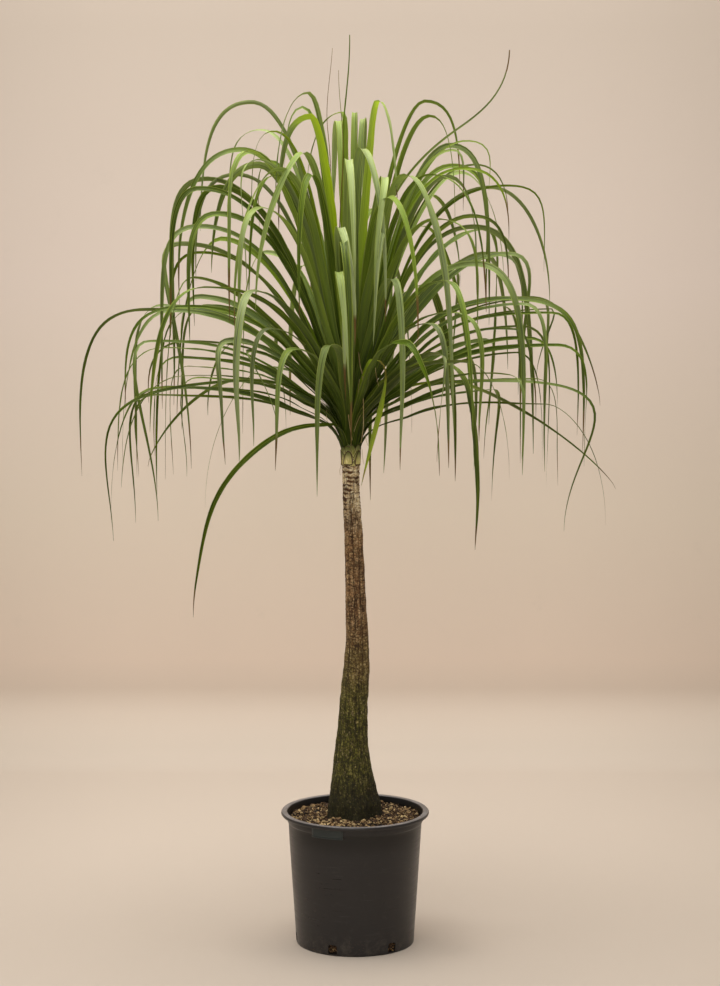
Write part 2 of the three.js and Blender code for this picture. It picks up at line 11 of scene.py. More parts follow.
import bpy
import numpy as np
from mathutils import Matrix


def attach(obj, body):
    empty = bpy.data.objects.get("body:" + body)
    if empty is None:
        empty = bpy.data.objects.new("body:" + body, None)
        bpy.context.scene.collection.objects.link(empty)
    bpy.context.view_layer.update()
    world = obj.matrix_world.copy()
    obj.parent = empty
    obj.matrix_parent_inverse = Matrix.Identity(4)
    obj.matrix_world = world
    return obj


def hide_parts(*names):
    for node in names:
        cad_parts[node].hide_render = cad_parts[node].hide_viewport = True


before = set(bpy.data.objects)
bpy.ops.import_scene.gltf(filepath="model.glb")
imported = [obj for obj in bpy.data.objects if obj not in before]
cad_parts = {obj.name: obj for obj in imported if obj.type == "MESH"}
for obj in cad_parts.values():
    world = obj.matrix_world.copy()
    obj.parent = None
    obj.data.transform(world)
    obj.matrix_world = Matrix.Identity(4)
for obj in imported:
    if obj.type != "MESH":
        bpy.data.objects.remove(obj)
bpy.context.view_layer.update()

MM = 0.001

# seeds of the draws, then of the noise
LEAF_SEED = 5150
BLADE_SEED = 9000
BLADE_SEED_STEP = 37
RING_SEED = 902
CHIP_SEED = 6606
SHEATH_SEED = 4111
STRAND_SEED = 2718
POT_NOISE = 31
LUMP_NOISE = 5
PITTED_NOISE = 91
RIDGE_NOISE = 77
CRACK_NOISE = 19
SOIL_NOISE = 12
DENT_NOISE = 3
TONE_NOISE = 8
HEART_NOISE = 61

# ------------------------------------------------------------------ sizes, mm
POT_HEIGHT = 272.0
POT_BASE_R = 119.7
POT_SHOULDER_R = 135.4
POT_SHOULDER_Z = 249.0
POT_NECK_R = 137.7
POT_FLOOR = 3.0
LIP_UNDER_Z = 264.0
LIP_R = 150.0
LIP_INNER_R = 137.2
THROAT_R = LIP_INNER_R - 2.2
WALL = 2.5
# the notches are 1.6 mm wider and start 1.4 mm lower than the CAD part's
NOTCH_COUNT = 6
NOTCH_WIDTH = 18.6
NOTCH_Z = 2.6
NOTCH_TOP = 22.5
NOTCH_FIRST = -82.0
TAB_FROM = -38.0
TAB_TO = -10.0
TAB_Z = 244.4
TAB_R = 140.6
POT_CREASE = math.radians(32)
TAB_CREASE = math.radians(30)
SOIL_WALL_Z = 256.5
SOIL_MIDDLE_Z = 262.5

# height, centre x, radius
TRUNK_ROWS = [
    (978.5, -8.4, 17.4), (928, -7.8, 17.2), (886, -5.9, 17.9), (827, -2.6, 18.4),
    (760, -0.2, 19.7), (693, 1.8, 20.7), (626, 4.6, 22.9), (575, 3.3, 25.9),
    (523, 0, 28.2), (494, -2.8, 28.5), (451, -4.5, 30.2), (408, -6.6, 33.1),
    (364, -6.3, 38.9), (321, -4.8, 46), (286, -3.2, 53), (258, -3, 55.5),
    (235, -3, 55), (205, -3, 47), (180, -3, 32),
]
TRUNK_FOOT_Z = 181.0
TRUNK_TOP_Z = 978.3
TRUNK_STEP = 1.25
RINGS_END_Z = 470.0
# the rings are deeper and wider apart above, and the bark breaks into ridges below
DEEP_RINGS_FROM_Z = 880.0
DEEP_RINGS_FULL_Z = 905.0
RIDGES_FROM_Z = 640.0
RIDGES_FULL_Z = 480.0
FLUTE_TOP_Z = 420.0
FLUTE_DEPTH = 4.2
FLUTES = 5
# long cracks down the stem: azimuth in degrees, from and to height
CRACKS = [
    (-97, 912, 600), (-62, 800, 520), (-128, 700, 500),
    (20, 880, 560), (95, 820, 540), (165, 900, 610),
]

CROWN_X = -8.4
CROWN_Y = 0.0
CROWN_Z = 978.8
CROWN = np.array([CROWN_X, CROWN_Y, CROWN_Z])
UP = np.array([0.0, 0.0, 1.0])
# height above the crown's foot, radius of the core that the leaves spring from
CORE = [(0, 18.6), (21, 20.6), (51, 27), (84, 36), (118, 46), (148, 52), (172, 51), (196, 36), (208, 0)]
ROOT_SHARE = 0.5
LEAN_OVER = 150.0
RULE_LEAVES = 70
GOLDEN_TURN = 137.508

# fold x, y, z, tip x, y, z, width, arch share, throw, plumb share, roll at fold and tip, slope
PLACED = [
    # highest folds
    (-91, -40, 1712, -154, -80, 1490, 15, 0.45, 45, 0.6, -10, -30),
    (-103, 20, 1684, -140, 10, 1510, 12, 0.45, 30, 0.6, 0, 30),
    (45, -70, 1696, 81, -130, 1470, 18, 0.35, 35, 0.6, 0, -20),
    (0, 90, 1676, 0, 210, 1440, 14, 0.5, 60, 0.6, 0, 0),
    (139, 30, 1699, 206, 30, 1520, 13, 0.4, 60, 0.6, -20, -40),
    (145, -60, 1666, 194, -110, 1400, 15, 0.4, 50, 0.6, 10, -30),
    (188, -10, 1611, 263, -50, 1260, 15, 0.4, 80, 0.6, 20, 50),
    # upper left
    (-208, 60, 1697, -309, 80, 1440, 13, 0.5, 90, 0.6, 20, 60),
    (-188, 110, 1641, -255, 150, 1420, 12, 0.5, 90, 0.6, 10, 30),
    (-158, -60, 1637, -200, -90, 1440, 10, 0.5, 50, 0.6, -10, -30),
    (-224, -60, 1603, -343, -90, 1300, 15, 0.5, 100, 0.6, -20, -60),
    (-206, -110, 1599, -240, -160, 1270, 16, 0.4, 60, 0.6, -20, -60),
    (-236, 70, 1553, -321, 90, 1340, 14, 0.5, 80, 0.6, 20, 50),
    (-152, -110, 1553, -205, -170, 1310, 15, 0.45, 50, 0.6, -20, -40),
    (-100, -150, 1596, -190, -220, 1300, 21, 0.3, 30, 0.5, -20, -50),
    # left side; the third leaf drops more steeply here than in the CAD part
    (-297, 90, 1542, -370, 130, 1085, 15, 0.5, 100, 0.7, 20, 60),
    (-307, -90, 1454, -374, -110, 1100, 14, 0.5, 90, 0.7, -20, -60),
    (-347, 110, 1415, -335, 120, 956, 13, 0.5, 110, 0.7, 30, 80),
    (-301, -130, 1526, -358, -150, 1240, 16, 0.5, 60, 0.6, -30, -70),
    (-265, -130, 1478, -319, -170, 1234, 18, 0.5, 70, 0.6, -30, -70),
    (-177, -200, 1492, -221, -250, 1262, 19, 0.4, 60, 0.6, -30, -60),
    (-195, -250, 1336, -219, -330, 1019, 22, 0.4, 60, 0.6, -20, -30),
    (-315, 150, 1393, -380, 180, 1200, 12, 0.5, 80, 0.6, 20, 50),
    (-337, -120, 1300, -443, -150, 1100, 12, 0.5, 120, 0.6, -20, -50),
    (-414, 40, 1287, -552, 40, 950, 11, 0.5, 130, 0.7, 25, 60),
    (-327, 120, 1217, -422, 150, 1088, 11, 0.5, 100, 0.5, 20, 40),
    (-400, -100, 1232, -386, -130, 882, 10, 0.5, 80, 0.5, -20, -50),
    (-243, -140, 1156, -467, -190, 851, 9, 0.5, 330, 0.6, -20, -50),
    (-370, 60, 1128, -447, 70, 851, 9, 0.6, 120, 0.6, 20, 50),
    (-228, 120, 1138, -426, 150, 956, 11, 0.5, 100, 0.2, 30, 60),
    (-243, -200, 1238, -246, -260, 1008, 16, 0.4, 70, 0.6, -30, -60),
    (-70, -60, 1062, -318, -90, 684, 12, 0.3, 190, 0.5, -30, -60),
    (-120, -240, 1225, -150, -290, 1000, 15, 0.4, 50, 0.6, -30, -40),
    (-166, -200, 1262, -195, -250, 1042, 14, 0.4, 50, 0.6, -30, -40),
    (-210, -120, 1215, -150, -220, 1075, 11, 0.4, 30, 0.5, -30, -40),
    # front; the last leaf stands 110 mm nearer and is 3 mm wider here than in the CAD part
    (-13, -230, 1583, 2, -330, 1324, 21, 0.35, 50, 0.6, 0, 10),
    (13, -150, 1604, 60, -270, 1280, 19, 0.35, 70, 0.6, 0, 20),
    (-26, -280, 1457, 0, -360, 1243, 23, 0.35, 50, 0.6, 0, -10),
    (-28, -300, 1375, -7, -380, 1082, 18, 0.35, 50, 0.6, 0, 10),
    (-15, -270, 1331, -17, -330, 1138, 16, 0.35, 40, 0.6, 0, 10),
    (53, -230, 1456, 34, -300, 1238, 18, 0.35, 50, 0.6, -30, -30),
    (55, -200, 1550, 37, -290, 1285, 19, 0.35, 60, 0.6, -10, -10),
    (102, -150, 1552, 189, -250, 1074, 22, 0.35, 60, 0.6, 10, 20),
    (74, -200, 1357, 88, -280, 1000, 17, 0.35, 60, 0.6, 0, 20),
    (33, -120, 1197, 13, -150, 954, 14, 0.35, 50, 0.6, 0, 20),
    (-85, -60, 1668, -150, 60, 1440, 19, 0.3, 60, 0.6, 0, 20),
    # right side
    (147, -90, 1553, 253, -130, 1290, 15, 0.5, 90, 0.6, 20, 50),
    (161, -100, 1468, 239, -120, 1253, 18, 0.5, 90, 0.6, 20, 60),
    (238, 90, 1447, 362, 130, 985, 16, 0.5, 130, 0.6, -20, -60),
    (235, -110, 1384, 325, -150, 975, 17, 0.5, 110, 0.6, 20, 60),
    (191, -180, 1291, 239, -220, 1048, 18, 0.5, 90, 0.6, 20, 40),
    (165, -120, 1190, 236, -160, 829, 18, 0.5, 90, 0.6, 20, 60),
    (317, -60, 1311, 447, -80, 1013, 16, 0.6, 150, 0.7, 20, 50),
    (356, 110, 1306, 501, 130, 1084, 12, 0.6, 90, 0.2, -20, -50),
    (271, 110, 1528, 396, 150, 1286, 14, 0.5, 90, 0.4, -20, -50),
    (299, 20, 1533, 374, 20, 1362, 10, 0.6, 90, 0.7, -20, -40),
    (218, -60, 1618, 261, -80, 1524, 9, 0.5, 60, 0.5, 20, 40),
    (244, 100, 1573, 311, 120, 1470, 10, 0.5, 60, 0.4, -20, -40),
    (192, -60, 1603, 210, -70, 1484, 12, 0.5, 30, 0.5, 20, 40),
    (212, -70, 1567, 299, -100, 1425, 12, 0.6, 80, 0.5, 20, 40),
    (311, -130, 1257, 348, -160, 1085, 11, 0.5, 40, 0.5, 20, 40),
    (327, -150, 1306, 366, -180, 985, 12, 0.5, 60, 0.6, 20, 40),
    (395, 90, 1284, 366, 90, 1145, 10, 0.6, 30, 0.5, -20, -40),
    (376, 150, 1300, 386, 160, 1026, 11, 0.6, 40, 0.6, -20, -40),
    (386, -60, 1286, 436, -80, 1045, 12, 0.6, 60, 0.6, 20, 40),
    (143, -200, 1271, 178, -240, 999, 16, 0.4, 60, 0.6, 20, 30),
    (188, 70, 1137, 531, 100, 916, 11, 0.5, 120, 0.1, -20, -40),
    (287, -70, 1152, 412, -110, 859, 10, 0.6, 320, 0.6, 20, 40),
    # thread-like young tips that stand up out of the top
    (-24, 10, 1600, -10, 10, 1826, 6, 0.3, 0, 0.4, 0, 0, 86),
    (-55, 20, 1640, -44, 20, 1801, 5, 0.3, 0, 0.4, 0, 0, 86),
    (-26, 0, 1640, -30, 0, 1757, 5, 0.3, 0, 0.4, 0, 0, 88),
    (182, 10, 1629, 304, 20, 1797, 6, 0.4, 30, 0.6, 0, 0, 36),
]
# share of width and dryness of each thread-like tip
THREADS = [(0.90, 0.0), (0.42, 0.75), (0.46, 0.6), (0.95, 0.1)]
FIRST_THREAD = len(PLACED) - len(THREADS)
# rows of PLACED that glow yellow-green against the light, and how much
GLOW = {0: 0.15, 1: 0.15, 2: 0.75, 3: 0.35, 38: 0.4, 44: 0.8, 45: 1.0, 51: 0.3, 66: 0.5}
# rows with a set tone, from 0 dark to 1 light
TONE = {31: 0.25, 68: 0.7, 71: 0.35}
# rows whose upper face gets a painted sheen highlight, and how much
PAINTED_SHEEN = {31: 0.0, 0: 0.55, 2: 0.8, 3: 0.6, 4: 0.2, 35: 0.8, 36: 0.65, 37: 0.9, 38: 0.85, 39: 0.9,
        40: 0.75, 41: 0.7, 42: 0.6, 43: 0.55, 45: 0.6, 66: 0.5}
# the short bright leaf that hangs before the stem, and how far it bows aside
BRIGHT_HANGER = 44
HANGER_BOW = 30.0
# a rule leaf of the CAD part that would stand clear above the rest, where the photo shows none
LEFT_OUT = 124

# width of a leaf: share of length, share of full width
WIDTH_PROFILE = [
    (0, 1.25), (0.03, 1.0), (0.08, 0.88), (0.2, 0.97), (0.45, 1), (0.62, 0.86),
    (0.8, 0.56), (0.93, 0.25), (0.985, 0.09), (1, 0.03),
]
HANGER_PROFILE = [(0, 0.6), (0.5, 0.5), (0.58, 0.24), (0.64, 0.5), (0.72, 1), (0.85, 0.62), (1, 0.03)]
THREAD_PROFILE = [(0, 1), (0.3, 1), (0.7, 0.85), (1, 0.4)]
# width near a leaf's foot: millimetres along it, factor
FOOT_PROFILE = [(0, 1.35), (22, 1.15), (85, 0.86), (200, 1.0)]
LEAF_STATION = 13.0
# points along the curves that a leaf's centreline is cut from
CLIMB_POINTS = 100
MEET_BEFORE = 60
NECK_POINTS = 40
FALL_POINTS = 60
ACROSS = (-1, -0.72, -0.38, 0, 0.38, 0.72, 1)
TURN_LOW = math.radians(14)
TURN_HIGH = math.radians(58)
SLIM = 0.50

# rows of old leaf feet: first height, length, width, radius at foot and tip, count, turn, margin
SHEATH_ROWS = [
    (5.0, 34.0, 22.0, 17.9, 20.4, 8, 14.0, 0.9),
    (1.0, 30.0, 22.0, 18.4, 20.4, 7, 43.0, 1.2),
    (-0.5, 30.0, 20.5, 19.2, 20.8, 5, -18.0, 3.8),
    (-2.0, 12.0, 16.0, 18.4, 19.2, 5, 19.0, 1.8),
]
# dead strands by the stem: x and height from top to bottom, depth, radius
STRANDS = [
    ([(7, 1208), (10, 1180), (15.5, 1162), (16.5, 1120), (17, 1080), (16.6, 1058), (14, 1040), (12, 1028)],
     -62, 1.15),
    ([(41, 1196), (40, 1172), (46, 1146), (48, 1122)], -88, 0.8),
    ([(-14, 1098), (-12, 1072), (-9, 1050), (-5.5, 1030)], -34, 0.95),
    ([(9, 1154), (6, 1128), (4, 1103)], -60, 0.6),
    ([(12, 1084), (4, 1066), (-2, 1048)], -40, 0.6),
    ([(-56, 1090), (-57, 1070), (-52, 1062), (-37, 1060), (-22, 1052)], -12, 0.6),
    ([(20, 1040), (23, 1026), (26, 1018)], -24, 0.5),
    ([(-27, 988), (-28, 976), (-31, 966), (-29, 958)], -14, 0.55),
    ([(14, 1012), (15.5, 992), (17, 980)], -16, 0.5),
]


# ------------------------------------------------------------------ small tools
class Draw:
    """The same repeatable draws as the CAD part makes."""

    def __init__(self, seed):
        self.state = seed & 0xFFFFFFFF

    def next(self):
        self.state = (self.state * 1664525 + 1013904223) & 0xFFFFFFFF
        return self.state / 4294967296

    def bell(self, spread):
        return (self.next() + self.next() + self.next() - 1.5) * 2 * spread

    def span(self, low, high):
        return low + (high - low) * self.next()


def unit(v):
    return v / max(float(np.linalg.norm(v)), 1e-12)


def held(value, low=0.0, high=1.0):
    return min(max(value, low), high)


def part_way(value, start, end):
    """How far a value has come from start to end, held between 0 and 1."""
    return held((value - start) / (end - start))


def table_at(rows, x):
    return float(np.interp(x, [r[0] for r in rows], [r[1] for r in rows]))


def heading(azimuth, slope=0.0):
    """A unit vector along an azimuth that climbs at a slope, both in radians."""
    flat = math.cos(slope)
    return np.array([math.cos(azimuth) * flat, math.sin(azimuth) * flat, math.sin(slope)])


def corner_value(i, j, k, seed):
    """A repeatable number from 0 to 1 at each corner of a whole-number grid."""
    h = (i * 73856093) ^ (j * 19349663) ^ (k * 83492791) ^ (seed * 2654435761)
    h = h & 0xFFFFFFFF
    h = ((h ^ (h >> 15)) * 2246822519) & 0xFFFFFFFF
    h = ((h ^ (h >> 13)) * 3266489917) & 0xFFFFFFFF
    return ((h ^ (h >> 16)) & 0xFFFFFF) / float(0xFFFFFF)


def value_noise(points, seed):
    """Smooth noise from -1 to 1 at each row of points."""
    base = np.floor(points).astype(np.int64)
    f = points - base
    f = f * f * (3 - 2 * f)
    total = 0
    for corner in product((0, 1), repeat=3):
        weight = np.prod(np.abs(1 - np.array(corner) - f), axis=1)
        total = total + weight * corner_value(*(base + corner).T, seed)
    return total * 2 - 1


def layered_noise(points, seed, layers=3):
    return sum(value_noise(points * 2**n, seed + n) * 0.5**n for n in range(layers))


def turns_round(sides):
    return np.arange(sides) * 2 * math.pi / sides


def ring(turns, radius, z, x=0.0):
    """A row of points round an upright axis at x, one for each turn."""
    heights = np.zeros(len(turns)) + z
    return np.stack([x + radius * np.cos(turns), radius * np.sin(turns), heights], axis=1)


def grid_faces(rows, columns, closed):
    """Quads between rows of points; closed joins each row's end to its start."""
    faces = []
    for r, c in product(range(rows - 1), range(columns if closed else columns - 1)):
        a, b = r * columns + c, r * columns + (c + 1) % columns
        faces.append((a, b, b + columns, a + columns))
    return faces


def fan(first, sides, centre, upward):
    """Triangles from a ring of points to its centre."""
    edges = [(first + s, first + (s + 1) % sides) for s in range(sides)]
    return [(a, b, centre) if upward else (b, a, centre) for a, b in edges]


def shifted(faces, start):
    return [tuple(start + i for i in face) for face in faces]


def mesh_object(name, points_mm, faces, material, smooth=True, **marks):
    """An object from points in millimetres, with a vector on each point for every kind of mark."""
    mesh = bpy.data.meshes.new(name)
    mesh.from_pydata((np.asarray(points_mm) * MM).tolist(), [], faces)
    mesh.update()
    if smooth:
        mesh.shade_smooth()
    if material is not None:
        mesh.materials.append(material)
    for key, values in marks.items():
        layer = mesh.attributes.new(key, "FLOAT_VECTOR", "POINT")
        layer.data.foreach_set("vector", np.asarray(values, dtype=np.float32).ravel())
    obj = bpy.data.objects.new(name, mesh)
    bpy.context.scene.collection.objects.link(obj)
    return obj


def piece(obj, node):
    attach(obj, "root")
    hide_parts(node)


# ------------------------------------------------------------------ shader tools
class Wire:
    """A node's output that can be added, taken away and multiplied like a number."""

    def __init__(self, look, socket):
        self.look = look
        self.socket = socket

    def __add__(self, other):
        return self.look.maths("ADD", self, other)

    def __sub__(self, other):
        return self.look.maths("SUBTRACT", self, other)

    def __rsub__(self, other):
        return self.look.maths("SUBTRACT", other, self)

    def __mul__(self, other):
        return self.look.maths("MULTIPLY", self, other)


class Look:
    """A material built from nodes."""

    def __init__(self, name):
        self.material = bpy.data.materials.new(name)
        self.material.use_nodes = True
        self.tree = self.material.node_tree
        self.tree.nodes.clear()
        self.where = self.node("TexCoord", out="Object")

    def node(self, kind, inputs=None, out=0, **settings):
        made = self.tree.nodes.new("ShaderNode" + kind)
        for key, value in settings.items():
            setattr(made, key, value)
        for key, value in (inputs or {}).items():
            socket = made.inputs[key]
            if isinstance(value, Wire):
                self.tree.links.new(value.socket, socket)
            else:
                socket.default_value = (*value, 1.0) if socket.type == "RGBA" else value
        return Wire(self, made.outputs[out])

    def split(self, vector):
        made = self.node("SeparateXYZ", {0: vector}).socket.node
        return [Wire(self, socket) for socket in made.outputs]

    def join(self, x, y, z):
        return self.node("CombineXYZ", {0: x, 1: y, 2: z})

    def marks(self, name):
        """The three numbers of a kind of mark."""
        return self.split(self.node("Attribute", out="Vector", attribute_name=name))

    def reach(self):
        """Distance from the upright axis."""
        x, y, _ = self.split(self.where)
        return self.node("VectorMath", {0: self.join(x, y, 0.0)}, "Value", operation="LENGTH")

    def stretch(self, scale):
        return self.node("Mapping", {"Vector": self.where, "Scale": scale})

    def noise(self, vector, scale, detail=3.0, rough=0.5, distortion=0.0):
        inputs = {"Vector": vector, "Scale": scale, "Detail": detail, "Roughness": rough}
        return self.node("TexNoise", {**inputs, "Distortion": distortion})

    def grain(self, scale, detail=3.0, rough=0.5, distortion=0.0):
        """Noise with its own scale along each axis of the object."""
        return self.noise(self.stretch(scale), 1.0, detail, rough, distortion)

    def cells(self, vector, feature="F1", out="Distance"):
        return self.node("TexVoronoi", {"Vector": vector, "Scale": 1.0}, out, feature=feature)

    def maths(self, operation, a, b=0.0, clamp=False):
        return self.node("Math", {0: a, 1: b}, operation=operation, use_clamp=clamp)

    def between(self, value, low, high, to_low=0.0, to_high=1.0):
        """A smooth step from to_low at low to to_high at high."""
        inputs = {"Value": value, "From Min": low, "From Max": high, "To Min": to_low, "To Max": to_high}
        return self.node("MapRange", inputs, "Result", interpolation_type="SMOOTHSTEP")

    def ramp(self, value, stops):
        made = self.node("ValToRGB", {"Fac": value})
        elements = made.socket.node.color_ramp.elements
        while len(elements) < len(stops):
            elements.new(0.5)
        for element, (at, colour) in zip(elements, stops):
            element.position = at
            element.color = (*colour, 1.0)
        return made

    def blend(self, share, a, b):
        return self.node("Mix", {0: share, 6: a, 7: b}, 2, data_type="RGBA", blend_type="MIX")

    def coats(self, colour, coats):
        """Colours laid over the first one after the other, each with its share."""
        for share, tint in coats:
            colour = self.blend(share, colour, tint)
        return colour

    def bump(self, height, distance, strength):
        return self.node("Bump", {"Height": height, "Distance": distance, "Strength": strength})

    def surface(self, colour, rough, normal, specular, tint=(1.0, 1.0, 1.0)):
        inputs = {"Base Color": colour, "Roughness": rough, "Normal": normal,
                  "Specular IOR Level": specular, "Specular Tint": tint}
        return self.node("BsdfPrincipled", inputs)

    def mixed(self, share, a, b):
        return self.node("MixShader", {0: share, 1: a, 2: b})

    def finish(self, shader):
        out = self.tree.nodes.new("ShaderNodeOutputMaterial")
        self.tree.links.new(shader.socket, out.inputs["Surface"])
        return self.material


# ------------------------------------------------------------------ materials
def leaf_look():
    look = Look("strap_leaf")
    across, along, tone = look.marks("leaf_place")
    edge, dry, base = look.marks("leaf_marks")
    # painted light in three numbers: a painted backlit glow, painted shade, and a painted sheen highlight
    # on the upper face
    glow, under, sheen_paint = look.marks("leaf_painted_light")
    # a lane of its own for each leaf, so that no two leaves share their streaks
    lane = across + tone * 97.0
    stripe = look.join(lane, along * 0.010, tone)
    bands = look.noise(stripe, 0.55, 2.0, 0.55)
    veins = look.noise(stripe, 1.9, 2.0, 0.6)
    drift = look.noise(look.join(lane * 0.07, along * 0.012, tone), 1.0)
    green = look.ramp(drift * 0.34 + tone * 0.66, [
        (0.15, (0.009, 0.020, 0.001)),
        (0.36, (0.025, 0.049, 0.002)),
        (0.58, (0.078, 0.138, 0.005)),
        (0.84, (0.215, 0.315, 0.020)),
    ])
    cream = look.ramp(bands, [(0.3, (0.230, 0.250, 0.035)), (0.7, (0.500, 0.480, 0.170))])
    brown = look.ramp(drift * 0.6 + veins * 0.4, [
        (0.3, (0.070, 0.030, 0.014)),
        (0.55, (0.175, 0.095, 0.036)),
        (0.8, (0.340, 0.225, 0.095)),
    ])
    # painted sheen highlight on the upper face, kept off where the painted shade lies
    lit = look.maths("MULTIPLY", sheen_paint, 1.0 - under, clamp=True)
    # share left out of the painted shade: the light streaks and margins dim where the painted shade lies
    outside_painted_shade = 1.0 - under * 0.62
    colour = look.coats(green, [
        (lit * 0.88, (0.600, 0.680, 0.360)),
        # painted shade, darkest from the stem to the fold and on hanging side leaves
        (under * 0.86, (0.014, 0.028, 0.002)),
        # painted glow: the colour turns yellow-green as if the leaf were lit through from behind
        (glow * 0.90, (0.350, 0.490, 0.008)),
        (look.between(bands, 0.48, 0.70, 0.0, 0.54) * outside_painted_shade, (0.255, 0.340, 0.024)),
        (look.between(bands, 0.50, 0.28, 0.0, 0.68), (0.010, 0.020, 0.001)),
        (look.between(veins, 0.50, 0.70, 0.0, 0.34) * outside_painted_shade, (0.320, 0.400, 0.060)),
        # pale margins, brightened further as a painted edge highlight
        (look.between(edge, 0.76, 1.0, 0.0, 0.56) * outside_painted_shade, (0.430, 0.490, 0.090)),
        (base, cream),
        (look.between(dry + (drift - 0.5) * 0.5, 0.35, 0.7), brown),
    ])
    rough = look.between(bands, 0.3, 0.7, 0.34, 0.50) + under * 0.20
    normal = look.bump(bands * 0.6 + veins * 0.4, 0.0014, 0.9)
    skin = look.surface(colour, rough, normal, 0.17, (0.92, 1.0, 0.50))
    light = look.blend(glow, look.blend(0.5, colour, (0.240, 0.360, 0.020)), (0.560, 0.780, 0.020))
    through = look.node("BsdfTranslucent", {"Color": light, "Normal": normal})
    return look.finish(look.mixed(glow * 0.37 + 0.13, skin, through))


def sheath_look():
    look = Look("leaf_sheath")
    rim, rise, tone = look.marks("sheath_marks")
    fibre = look.grain((900, 900, 60), 4.0, 0.6)
    cloud = look.grain((150, 150, 90), 3.0, 0.55)
    straw = look.ramp(fibre * 0.6 + cloud * 0.4, [
        (0.38, (0.360, 0.310, 0.070)),
        (0.50, (0.700, 0.610, 0.210)),
        (0.62, (1.000, 0.880, 0.500)),
    ])
    frayed = rim + (cloud - 0.5) * 0.55
    colour = look.coats(straw, [
        (tone * 0.30, (0.330, 0.360, 0.040)),
        (look.between(rise, 0.20, 0.95, 0.0, 0.92), (0.060, 0.095, 0.004)),
        (look.between(frayed, 0.18, 0.48, 0.0, 0.95), (0.070, 0.030, 0.012)),
    ])
    normal = look.bump(fibre + cloud * 0.5, 0.0008, 0.7)
    return look.finish(look.surface(colour, look.between(fibre, 0.3, 0.7, 0.5, 0.75), normal, 0.4))


def dry_look():
    look = Look("dry_thread")
    fibre = look.grain((700, 700, 45), 4.0, 0.6)
    cloud = look.grain((60, 60, 25))
    colour = look.ramp(fibre * 0.4 + cloud * 0.6, [
        (0.3, (0.160, 0.090, 0.040)),
        (0.5, (0.380, 0.280, 0.120)),
        (0.7, (0.600, 0.520, 0.280)),
    ])
    rough = look.between(fibre, 0.3, 0.7, 0.6, 0.85)
    return look.finish(look.surface(colour, rough, look.bump(fibre, 0.0006, 0.7), 0.3))


def bark_look():
    look = Look("ringed_bark")
    groove, ridge, _ = look.marks("bark_marks")
    brick_grid = look.stretch((160, 160, 190))
    bricks = look.cells(brick_grid, "DISTANCE_TO_EDGE")
    brick_tone = look.split(look.cells(brick_grid, "F1", "Color"))[0]
    long_lines = look.grain((120, 120, 13), 3.0, 0.55)
    streaks = look.grain((210, 210, 17), 4.0, 0.6)
    grain = look.grain((240, 240, 330), 4.0, 0.65)
    blotch = look.grain((26, 26, 22), 4.0, 0.6)
    specks = look.grain((260, 260, 150), 2.0, 0.5)
    # zones along the stem, with uneven borders
    tall = look.split(look.where)[2] + (blotch - 0.5) * 0.16
    low = look.between(tall, 0.70, 0.47)
    foot = look.between(tall, 0.385, 0.285)
    high = look.between(tall, 0.835, 0.925)
    brick_crack = look.maths("MULTIPLY", look.between(bricks, 0.12, 0.03), 1.0 - high * 0.8, clamp=True)
    split_lines = look.between(look.maths("ABSOLUTE", long_lines - 0.5), 0.022, 0.008)
    fleck = grain * 0.46 + (brick_tone * 0.12 + streaks * 0.42)
    middle = look.ramp(fleck, [
        (0.36, (0.085, 0.038, 0.014)),
        (0.45, (0.230, 0.118, 0.048)),
        (0.54, (0.430, 0.250, 0.108)),
        (0.64, (0.720, 0.500, 0.260)),
    ])
    cream = look.ramp(blotch * 0.3 + grain * 0.7, [
        (0.36, (0.300, 0.165, 0.070)),
        (0.46, (0.660, 0.480, 0.250)),
        (0.56, (1.000, 0.880, 0.600)),
    ])
    moss = look.ramp(fleck, [
        (0.35, (0.020, 0.020, 0.003)),
        (0.44, (0.070, 0.068, 0.010)),
        (0.54, (0.165, 0.150, 0.026)),
        (0.66, (0.400, 0.340, 0.110)),
    ])
    colour = look.coats(middle, [
        (high, cream),
        (low, moss),
        (foot * 0.80, (0.010, 0.008, 0.003)),
        (look.between(specks, 0.60, 0.68) * (0.6 - foot * 0.42), (0.560, 0.430, 0.200)),
        (brick_crack * 0.55, (0.030, 0.015, 0.006)),
        (split_lines * 0.7, (0.022, 0.013, 0.005)),
        (ridge * (low * 0.55), (0.012, 0.012, 0.003)),
        (groove * 0.97, look.blend(high, (0.040, 0.019, 0.008), (0.090, 0.032, 0.011))),
    ])
    relief = (grain * 0.5 + streaks * 0.35) - (brick_crack * 0.5 + split_lines * 0.7)
    rough = look.between(grain, 0.3, 0.7, 0.72, 0.92)
    return look.finish(look.surface(colour, rough, look.bump(relief, 0.0024, 0.9), 0.3))


